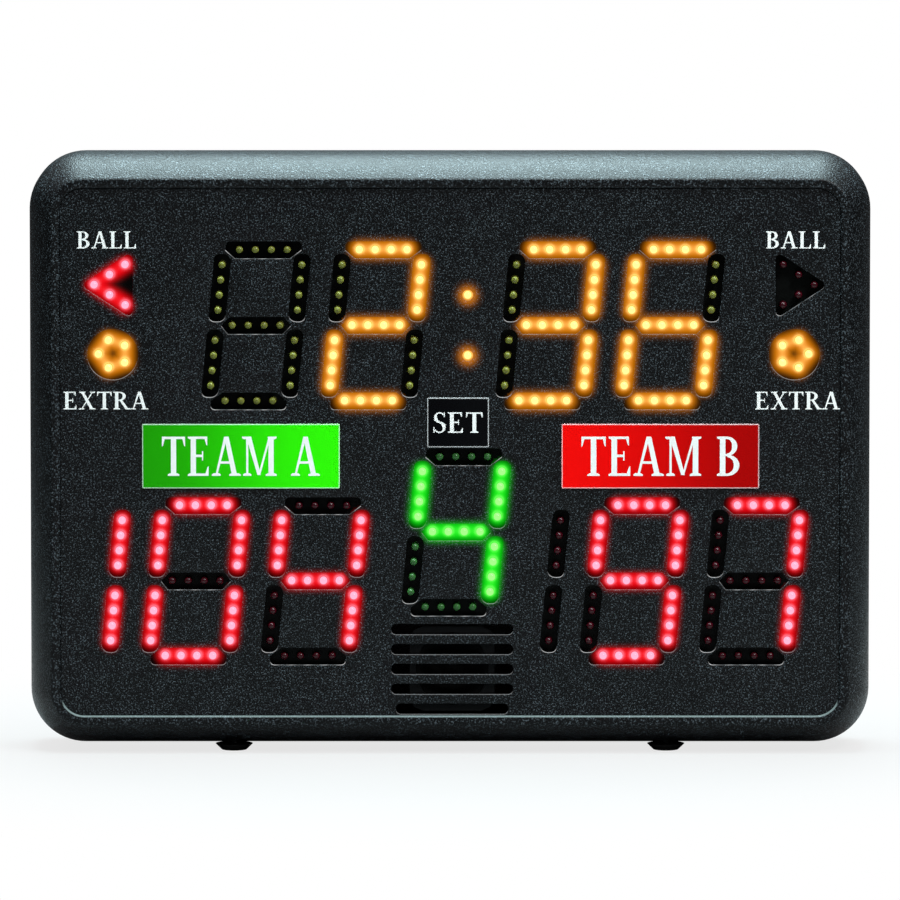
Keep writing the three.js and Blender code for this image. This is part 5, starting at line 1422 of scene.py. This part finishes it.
def tub(middle, half_width, half_height, corner, wall, mouth_y, floor_y, flange_y, holes=()):
    """Tub with a flange, and holes through its floor."""
    skin = Skin()
    outline = box_at(middle, half_width, half_height, corner, 8)
    reach = wall + TUB_FLANGE
    sections = [(mouth_y, wall - 0.3), (mouth_y - 0.3, wall), (flange_y, wall), (flange_y, reach)]
    if flange_y == mouth_y:
        sections = [(mouth_y, reach)]
    sections += [
        (flange_y - FLANGE_THICKNESS, reach), (flange_y - FLANGE_THICKNESS, wall),
        (floor_y - wall + 0.6, wall), (floor_y - wall, wall - 0.6)]
    rim, bottom = skin.stack(sections, outline)
    inside = [(mouth_y, 0.35), (mouth_y - 0.35, 0)]
    inside += [
        (floor_y + FLOOR_ROUND * (1 - math.sin(a)), FLOOR_ROUND * (math.cos(a) - 1))
        for a in np.linspace(0, math.pi / 2, 7)]
    edge, base = skin.stack(inside, outline)
    skin.wall(rim, edge)
    rings = [skin.stack([(floor_y, 0), (floor_y - wall, 0)], lambda out: loop) for loop in holes]
    skin.flat(base, [front for front, _ in rings])
    skin.flat(bottom, [back for _, back in rings])
    return skin


GRIP_DEPTH, TRAY_DEPTH = 27, 14
skin = tub(*grip, GRIP_CORNER, TUB_WALL, REAR_Y, REAR_Y - GRIP_DEPTH, TUB_FLANGE_Y)
skin_piece("hand_grip", skin, case_plastic, "case", ["hand_grip_cup"], "case_plastic")

TRAY_FLOOR_Y = REAR_Y - TRAY_DEPTH
CONTROL_Z = tray[0][1]
switch_at, power_at, cable_at, volume_at = (
    np.array([middle_of(node)[0], CONTROL_Z])
    for node in ("power_switch_body", "dc_power_socket", "control_cable_socket", "volume_control"))
tray_holes = [
    rounded_box(switch_at, 7.1, 10.3, 0.5, 2), circle(power_at, 4.3, 32),
    rounded_box(cable_at, 8.1, 7.3, 0.5, 2), circle(volume_at, 3.8, 32)]
skin = tub(*tray, TRAY_CORNER, TUB_WALL, REAR_Y, TRAY_FLOOR_Y, TUB_FLANGE_Y, tray_holes)
skin_piece("controls_tray", skin, case_plastic, "case", ["control_tray"], "case_plastic")

BAY_BACK_Y, BAY_FLOOR_Y = bay_high.y / MM, bay_low.y / MM + BAY_WALL
skin = tub(*bay, BAY_CORNER, BAY_WALL, BAY_BACK_Y, BAY_FLOOR_Y, BAY_BACK_Y)
skin_piece("battery_bay", skin, case_plastic, "case", ["battery_box"], "case_plastic")

# %% [markdown]
# # Battery door
# The door turns on a barrel along its lower edge. A thumb scoop and four grooves show where to press,
# and a tongue at the top snaps behind the frame.

# %% Battery door
BARREL_RADIUS, BARREL_NECK, BARREL_PIN, PIN_REACH = 2.5, 2.2, 1.4, 4
LID_CORNER, LID_ROUND = 1.2, 0.6
TONGUE_HALF_WIDTH, TONGUE_THICKNESS = 11, 1.6
SCOOP_DROP, GROOVE_DROP, GROOVE_PITCH = 7.5, 9.5, 5
SCOOP = [(0, 0.25), (0.25, 0), (0.7, -0.3), (1.1, -1.2)]
GRIP_GROOVE = [(0, 0.12), (0.15, 0), (0.45, -0.1), (0.6, -0.35)]
hinge_y, hinge_z = REAR_Y - BARREL_RADIUS, door_low.z / MM + BARREL_RADIUS
door_side, door_top = DOOR_SIDE - FIT - PIN_REACH, DOOR_TOP - FIT
lid_middle, lid_half = (0, (door_top + hinge_z) / 2), (door_top - hinge_z) / 2
scoop_z = door_top - SCOOP_DROP
skin = Skin()
inner_face, outer_face = skin.stack(
    [(hinge_y, 0.3), (hinge_y + 0.3, 0), (REAR_Y - LID_ROUND, 0), (REAR_Y - 0.17, 0.17),
     (REAR_Y, LID_ROUND)],
    lambda inset: rounded_box(lid_middle, door_side - inset, lid_half - inset, LID_CORNER, 4))
recesses = []
groove_rows = [scoop_z - GROOVE_DROP - GROOVE_PITCH * k for k in range(4)]
for sections, outline in [
    (SCOOP, box_at((0, scoop_z), 10.7, 4.2, 4, 8)),
    *((GRIP_GROOVE, box_at((0, z), 20.9, 0.65, 0.6, 4)) for z in groove_rows),
]:
    mouth, rest = skin.stack([(REAR_Y - back, out) for back, out in sections], outline)
    skin.flat(rest)
    recesses.append(mouth)
skin.flat(inner_face)
skin.flat(outer_face, recesses)
barrel = [
    (0, -door_side - PIN_REACH), (BARREL_PIN - 0.3, -door_side - PIN_REACH),
    (BARREL_PIN, 0.3 - door_side - PIN_REACH), (BARREL_PIN, -door_side), (BARREL_NECK, -door_side),
    (BARREL_RADIUS, 0.3 - door_side)]
turn(skin, barrel + [(r, -d) for r, d in reversed(barrel)], (0, hinge_y, hinge_z), (1, 0, 0), 36)
tongue_top = door_top - 3 - FIT
block(skin, (-TONGUE_HALF_WIDTH, door_low.y / MM, tongue_top - TONGUE_THICKNESS),
      (TONGUE_HALF_WIDTH, hinge_y + 0.4, tongue_top))
skin_piece("battery_lid", skin, case_plastic, "battery_lid", ["battery_door"], "case_plastic")

# %% [markdown]
# # Controls
# In the tray sit a rocker switch, a round socket for the power supply, a keyed socket for the
# operator's lead, and a volume knob. The rocker turns about its pins, and the knob about its shaft,
# so both are pieces of their own and ride on the bodies that move.

# %% Switch
SEAT_Y = TRAY_FLOOR_Y + FIT
SWITCH_FACE_Y = TRAY_FLOOR_Y + 2.3
SWITCH_BACK_Y = TRAY_FLOOR_Y - 15


def fixed_corner(middle, half_width, half_height, corner, steps=4):
    """Rule that sets a rounded rectangle in, and keeps its corner radius."""
    return lambda inset: rounded_box(middle, half_width - inset, half_height - inset, corner, steps)


skin = Skin()
foot_ring, bezel_rim = skin.stack(
    [(SEAT_Y, 0), (SEAT_Y + 1.5, 0), (SEAT_Y + 1.85, 0.15), (SWITCH_FACE_Y, 0.5)],
    fixed_corner(switch_at, 8.5, 12, 1))
body_root, body_back = skin.stack([(SEAT_Y, 0), (SWITCH_BACK_Y, 0)], fixed_corner(switch_at, 6.8, 10, 1))
well_top, well_floor = skin.stack(
    [(SWITCH_FACE_Y, 0.25), (SWITCH_FACE_Y - 0.25, 0), (TRAY_FLOOR_Y - 5, 0)],
    box_at(switch_at, 5.45, 8.44, 0.3, 3))
skin.wall(foot_ring, body_root)
skin.flat(bezel_rim, [well_top])
skin.flat(well_floor)
skin.flat(body_back)
for k in (-1, 0, 1):
    x, z = switch_at + [0, 6 * k]
    block(skin, (x - 2.4, SWITCH_BACK_Y - 7, z - 0.4), (x + 2.4, SWITCH_BACK_Y + 0.3, z + 0.4), 0.2)
skin_piece("switch_body", skin, gloss_black, "case", ["power_switch_body"], "black_gloss_plastic")

# %% Rocker
ROCKER_TILT = math.radians(9)
ROCKER_HALF_LENGTH, ROCKER_HALF_WIDTH, ROCKER_END = 7.3, 5.1, 5.5
PIVOT_Y = TRAY_FLOOR_Y - 0.6


def rocker_top(along):
    """Height of the rocker's hollow top over its pivot."""
    return 4.2 + 1.4 * (along / ROCKER_HALF_LENGTH) ** 2


def on_rocker(out, across, along):
    """World place of a point of the tilted rocker."""
    c, s = math.cos(ROCKER_TILT), math.sin(ROCKER_TILT)
    return switch_at[0] + across, PIVOT_Y + out * c - along * s, CONTROL_Z + out * s + along * c


side_line = rounded_corners(
    [(-ROCKER_HALF_LENGTH, 0.2, 0.8), (-3.8, -2.1, 1.5), (3.8, -2.1, 1.5), (ROCKER_HALF_LENGTH, 0.2, 0.8),
     (ROCKER_HALF_LENGTH, ROCKER_END, 0.5)]
    + [(a, rocker_top(a), 1.0) for a in (4.8, 2.4, 0, -2.4, -4.8)]
    + [(-ROCKER_HALF_LENGTH, ROCKER_END, 0.5)])
skin = Skin()
half_profile = [(ROCKER_HALF_WIDTH - 0.3, 0), (ROCKER_HALF_WIDTH, -0.3)]
full_profile = [(-across, out) for across, out in reversed(half_profile)] + half_profile
left, right = skin.stack(full_profile, lambda out: grown(side_line, out))
skin.flat(left)
skin.flat(right)
turn(skin, [(0, -6), (1.0, -6), (1.2, -5.8), (1.2, 5.8), (1.0, 6), (0, 6)], (0, 0, 0), (0, 1, 0), 24)
moved(skin, lambda along, across, out: on_rocker(out, across, along))
skin_piece("rocker", skin, gloss_black, "rocker", ["power_rocker"], "black_gloss_plastic")

# %% Marks on the rocker
MARK_HALF_HEIGHT = 0.05
for name, outer, hole in [
    ("rocker_on_mark", rounded_box((0, 4.6), 1.3, 0.24, 0.2, 3), []),
    ("rocker_off_mark", circle((0, -4.4), 1.35, 32), circle((0, -4.4), 0.9, 32)),
]:
    skin = Skin()
    sections = [(-MARK_HALF_HEIGHT, 0), (MARK_HALF_HEIGHT, 0)]
    rings = skin.stack(sections, lambda inset: outer)
    holes = skin.stack(sections, lambda inset: hole) if len(hole) else ([], [])
    for ring, inner in zip(rings, holes):
        skin.flat(ring, [inner] if inner else [])
    moved(skin, lambda across, lift, along: on_rocker(rocker_top(along) + lift, across, along))
    skin_piece(name, skin, white_ink, "rocker")

# %% Sockets
SOCKET_FACE_Y = SEAT_Y + 1.6
profile = [
    (0, SEAT_Y - 13), (3.7, SEAT_Y - 13), (4, SEAT_Y - 12.7), (4, SEAT_Y), (5.6, SEAT_Y),
    (5.6, SOCKET_FACE_Y - 0.4), (5.2, SOCKET_FACE_Y), (3.5, SOCKET_FACE_Y), (3.2, SOCKET_FACE_Y - 0.3),
    (3.2, SEAT_Y - 9.5), (0, SEAT_Y - 9.5)]
power_axis = (power_at[0], 0, CONTROL_Z)
skin = turn(Skin(), profile, power_axis, (0, 1, 0), 48)
skin_piece("power_socket", skin, gloss_black, "case", ["dc_power_socket"], "black_gloss_plastic")
profile = [(0, SEAT_Y - 9.3), (1, SEAT_Y - 9.3), (1, SEAT_Y - 0.7), (0.6, SEAT_Y - 0.1), (0, SEAT_Y)]
skin = turn(Skin(), profile, power_axis, (0, 1, 0), 24)
skin_piece("power_socket_pin", skin, nickel, "case")

PIN_PITCH, PIN_HALF = 2.54, 0.32
LEAD_FACE_Y = SEAT_Y + 1.4
mouth_half = [(-5.95, 3.45), (-5.95, -3.45), (-3, -3.45), (-3, -5.85)]
mouth_outline = cable_at + (mouth_half + [(-x, z) for x, z in reversed(mouth_half)])
skin = Skin()
foot_ring, face_rim = skin.stack(
    [(SEAT_Y, 0), (LEAD_FACE_Y - 0.3, 0), (LEAD_FACE_Y, 0.3)], fixed_corner(cable_at, 9.5, 8.75, 1))
body_root, body_back = skin.stack([(SEAT_Y, 0), (SEAT_Y - 17, 0)], fixed_corner(cable_at, 7.8, 7, 1))
mouth, floor_ring = skin.stack(
    [(LEAD_FACE_Y, 0.2), (LEAD_FACE_Y - 0.2, 0), (SEAT_Y - 11.6, 0)], lambda out: grown(mouth_outline, out))
skin.wall(foot_ring, body_root)
skin.flat(face_rim, [mouth])
skin.flat(floor_ring)
skin.flat(body_back)
skin_piece("lead_socket", skin, gloss_black, "case", ["control_cable_socket"], "black_gloss_plastic")
skin = Skin()
for row in (-1, 1):
    for k in range(4):
        x, z = cable_at + [PIN_PITCH * k - 3.8, 1.3 * row]
        low, high = (x - PIN_HALF, SEAT_Y - 11.5, z - PIN_HALF), (x + PIN_HALF, SEAT_Y - 3.5, z + PIN_HALF)
        block(skin, low, high, 0.12)
skin_piece("lead_socket_pins", skin, nickel, "case")

# %% Volume knob
NUT_THICKNESS, NUT_RADIUS, NUT_BORE = 2, 5.5, 3.8
FLUTES, FLUTE_DEPTH, FLUTE_START = 12, 0.75, 5.6
skin = Skin()
hexagon = divided(circle(volume_at, NUT_RADIUS, 6), 1.0)
nut_out = skin.stack(
    [(SEAT_Y, -0.3), (SEAT_Y + 0.25, 0), (SEAT_Y + NUT_THICKNESS - 0.3, 0), (SEAT_Y + NUT_THICKNESS, -0.4)],
    lambda out: grown(hexagon, out))
nut_in = skin.stack(
    [(SEAT_Y, 0), (SEAT_Y + NUT_THICKNESS, 0)], lambda out: circle(volume_at, NUT_BORE, 36))
for outside_ring, inside_ring in zip(nut_out, nut_in):
    skin.flat(outside_ring, [inside_ring])
skin_piece("volume_nut", skin, nickel, "case", ["volume_control_nut"], "nickel")


def fluted(radius):
    """Round outline with twelve finger grooves."""
    turns = 2 * np.pi * np.arange(12 * FLUTES) / (12 * FLUTES)
    share = min(1, max(0, (radius - FLUTE_START) / 1.2))
    reach = radius - FLUTE_DEPTH * (0.5 - 0.5 * np.cos(FLUTES * turns)) ** 2 * share
    return volume_at + np.column_stack([reach * np.cos(turns), reach * np.sin(turns)])


knob_back, knob_front = (corner.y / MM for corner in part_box("volume_knob"))
skin = Skin()
knob_root, knob_top = skin.stack(
    [(knob_back, 8.2), (knob_back + 0.3, 8.48), (knob_front - 1.2, 7.4), (knob_front - 0.5, 7.15),
     (knob_front - 0.12, 6.6), (knob_front, 5.8)], fluted)
bore, bore_end = skin.stack(
    [(knob_back, 2.8), (knob_back + 6.5, 2.8)], lambda radius: circle(volume_at, radius, 32))
skin.flat(knob_root, [bore])
skin.flat(bore_end)
line_middle = volume_at + [0, 3.2]
slit, slit_end = skin.stack(
    [(knob_front, -0.1), (knob_front - 0.45, 0)], fixed_corner(line_middle, 0.6, 2.1, 0.3, 3))
skin.flat(knob_top, [slit])
skin.flat(slit_end)
skin_piece("knob", skin, gloss_black, "volume", ["volume_knob"], "black_gloss_plastic")
x, z = line_middle
skin = block(Skin(), (x - 0.5, knob_front - 0.42, z - 2), (x + 0.5, knob_front - 0.08, z + 2), 0.1)
skin_piece("knob_line", skin, white_ink, "volume")

# %% [markdown]
# # Battery contacts
# A nickel strip lies at each end of the bay, with a cone of spring wire for every column of cells.
# The wire follows a spiral, which is a job for Geometry Nodes: one coil is swept along its path and
# set on the four places of a strip.


# %% Tree of the springs
def spring_tree():
    """Geometry nodes that set a cone of spring wire on every point."""
    tree, points, wide, narrow, height, wire, tip = node_group(
        "springs", Wide=6.4 * MM, Narrow=3.2 * MM, Height=2.3 * MM, Wire=0.4 * MM, Tip=0.0)
    path = tree.node("GeometryNodeCurveSpiral", sockets={
        "Resolution": 28, "Rotations": 3.0, "Start Radius": wide, "End Radius": narrow, "Height": height})
    ring = tree.node("GeometryNodeCurvePrimitiveCircle", sockets={"Resolution": 8, "Radius": wire})
    coil = tree.node(
        "GeometryNodeCurveToMesh", sockets={"Curve": path, "Profile Curve": ring, "Fill Caps": True})
    tipped = tree.node("ShaderNodeCombineXYZ", sockets={"X": tip})
    return set_on_points(tree, points, coil, nickel, Rotation=tipped)


# %% Strips with their springs
STRIP_THICKNESS, CELL_PITCH, COIL_GAP = 0.8, 33.5, 0.4
cell_columns = [CELL_PITCH * share for share in (-1.5, -0.5, 0.5, 1.5)]
springs = spring_tree()
for side, tip in [("lower", 0.0), ("upper", math.pi)]:
    node = side + "_contact_strip"
    low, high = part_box(node)
    start = low.z / MM if side == "lower" else high.z / MM - STRIP_THICKNESS
    skin = block(
        Skin(), (low.x / MM, low.y / MM, start), (high.x / MM, high.y / MM, start + STRIP_THICKNESS), 0.15)
    skin_piece(side + "_strip", skin, nickel, "case", [node], "nickel")
    face = start + (STRIP_THICKNESS + COIL_GAP if side == "lower" else -COIL_GAP)
    y = middle_of(node)[1]
    coils = grown_by_nodes(side + "_springs", [(x, y, face) for x in cell_columns], springs, [("Tip", tip)])
    add_piece(side + "_springs", coils, None, "case", slot="nickel")

# %% [markdown]
# # Camera
# The photograph shows the board from straight ahead and about five degrees above, from so far away
# that nothing tapers. A long lens at six and a half metres gives the same view.

# %% Camera
TILT = math.radians(5.2)
DISTANCE = 6.5
FOCAL_LENGTH = 387.4
PICTURE, MIDDLE_ROW = 900, 452.5
lens = bpy.data.cameras.new("camera")
lens.sensor_width = 36
lens.lens = FOCAL_LENGTH
lens.clip_end = 100
lens.shift_y = (MIDDLE_ROW - PICTURE / 2) / PICTURE
camera = bpy.data.objects.new("camera", lens)
scene.collection.objects.link(camera)
aim = Vector((0, MM * PANEL_Y, MM * CENTRE_Z))
camera.location = aim + DISTANCE * Vector((0, -math.cos(TILT), math.sin(TILT)))
camera.rotation_euler = (math.pi / 2 - TILT, 0, 0)
scene.camera = camera
print("camera at", [round(v, 3) for v in camera.location])

# %% [markdown]
# # Floor and light
# The board stands on a floor that runs back until it fills the picture, and that the camera sees
# as white. Near the board that white is three parts in four, over a grey paper that takes the
# board's shadow, and further off it is pure. Reflections, and light that passes through, see white
# only in a strip behind the board: white in front would lay a veil on the panel.

# %% Floor
scene.view_settings.view_transform = "Standard"
NEAR_WHITE = 0.76
GREY_LOW, GREY_HIGH, GREY_FAR = (0.28, 0.28, 0.28, 1), (0.3, 0.3, 0.3, 1), (0.1, 0.1, 0.1, 1)
STUDIO_FLOOR, STUDIO_CEILING = (0.04, 0.042, 0.045, 1), (0.86, 0.89, 0.91, 1)


def floor_paper(tree):
    """Grey paper that gets darker away from the board, so it casts little light back on it."""
    grain = tree.noise(2.0)
    distance = tree.node("ShaderNodeVectorMath", {"operation": "LENGTH"}, {0: tree.place()}, "Value")
    far = distance.between(0.4, 1.0)
    return {"Base Color": tree.mix(far, tree.mix(grain, GREY_LOW, GREY_HIGH), GREY_FAR)}


paper = finish("floor paper", {"Roughness": 0.9}, floor_paper)
floor_tree = Tree(paper.node_tree)
path = paper.node_tree.nodes.new("ShaderNodeLightPath")
place = floor_tree.place()
away = floor_tree.node("ShaderNodeVectorMath", {"operation": "LENGTH"}, {0: place}, "Value")
across, behind = floor_tree.axis(place, "X"), floor_tree.axis(place, "Y")
strip = (1 - across.math("ABSOLUTE").between(0.32, 0.6)) * behind.between(-0.9, -0.4)
by_camera, by_gloss, through = (
    Wire(floor_tree, path.outputs["Is " + ray + " Ray"]) for ray in ("Camera", "Glossy", "Transmission"))
far_off = away.between(0.22, 0.55)
to_camera = by_camera * (NEAR_WHITE + (1 - NEAR_WHITE) * far_off)
seen = to_camera.math("MAXIMUM", by_gloss.math("MAXIMUM", through) * strip * far_off)
white = floor_tree.node("ShaderNodeEmission", sockets={"Color": (1, 1, 1, 1), "Strength": 1.0})
shader = Wire(floor_tree, paper.node_tree.nodes["Principled BSDF"].outputs[0])
mixed = floor_tree.node("ShaderNodeMixShader", sockets={0: seen, 1: shader, 2: white})
paper.node_tree.links.new(mixed.socket, paper.node_tree.nodes["Material Output"].inputs["Surface"])
floor_mesh = bpy.data.meshes.new("floor")
floor_mesh.from_pydata([(-25, -12, 0), (25, -12, 0), (25, 30, 0), (-25, 30, 0)], [], [(0, 1, 2, 3)])
floor = bpy.data.objects.new("floor", floor_mesh)
scene.collection.objects.link(floor)
floor_mesh.materials.append(paper)

# %% Light
world = bpy.data.worlds.new("studio")
scene.world = world
world.use_nodes = True
sky = Tree(world.node_tree)
height = sky.axis(sky.node("ShaderNodeTexCoord", output="Generated"), "Z")
shade = sky.mix(height.between(0.2, 1.0), STUDIO_FLOOR, STUDIO_CEILING)
world.node_tree.links.new(shade.socket, world.node_tree.nodes["Background"].inputs["Color"])


def softbox(name, place, aim_at, size, colour, power):
    """Soft lamp, as wide and as deep as asked, that looks at a point."""
    data = bpy.data.lights.new(name, "AREA")
    data.shape = "RECTANGLE"
    data.size, data.size_y = size
    data.color = colour
    data.energy = power
    lamp = bpy.data.objects.new(name, data)
    scene.collection.objects.link(lamp)
    lamp.location = place
    lamp.rotation_euler = (Vector(aim_at) - Vector(place)).to_track_quat("-Z", "Y").to_euler()


softbox("overhead", (0, 0.15, 1.38), (0, -0.02, 0.39), (0.95, 1.5), (0.74, 1.0, 1.05), 70)
softbox("key", (1.2, -1.7, 2.3), (0, 0, 0.2), (0.7, 0.7), (1, 1, 1), 55)
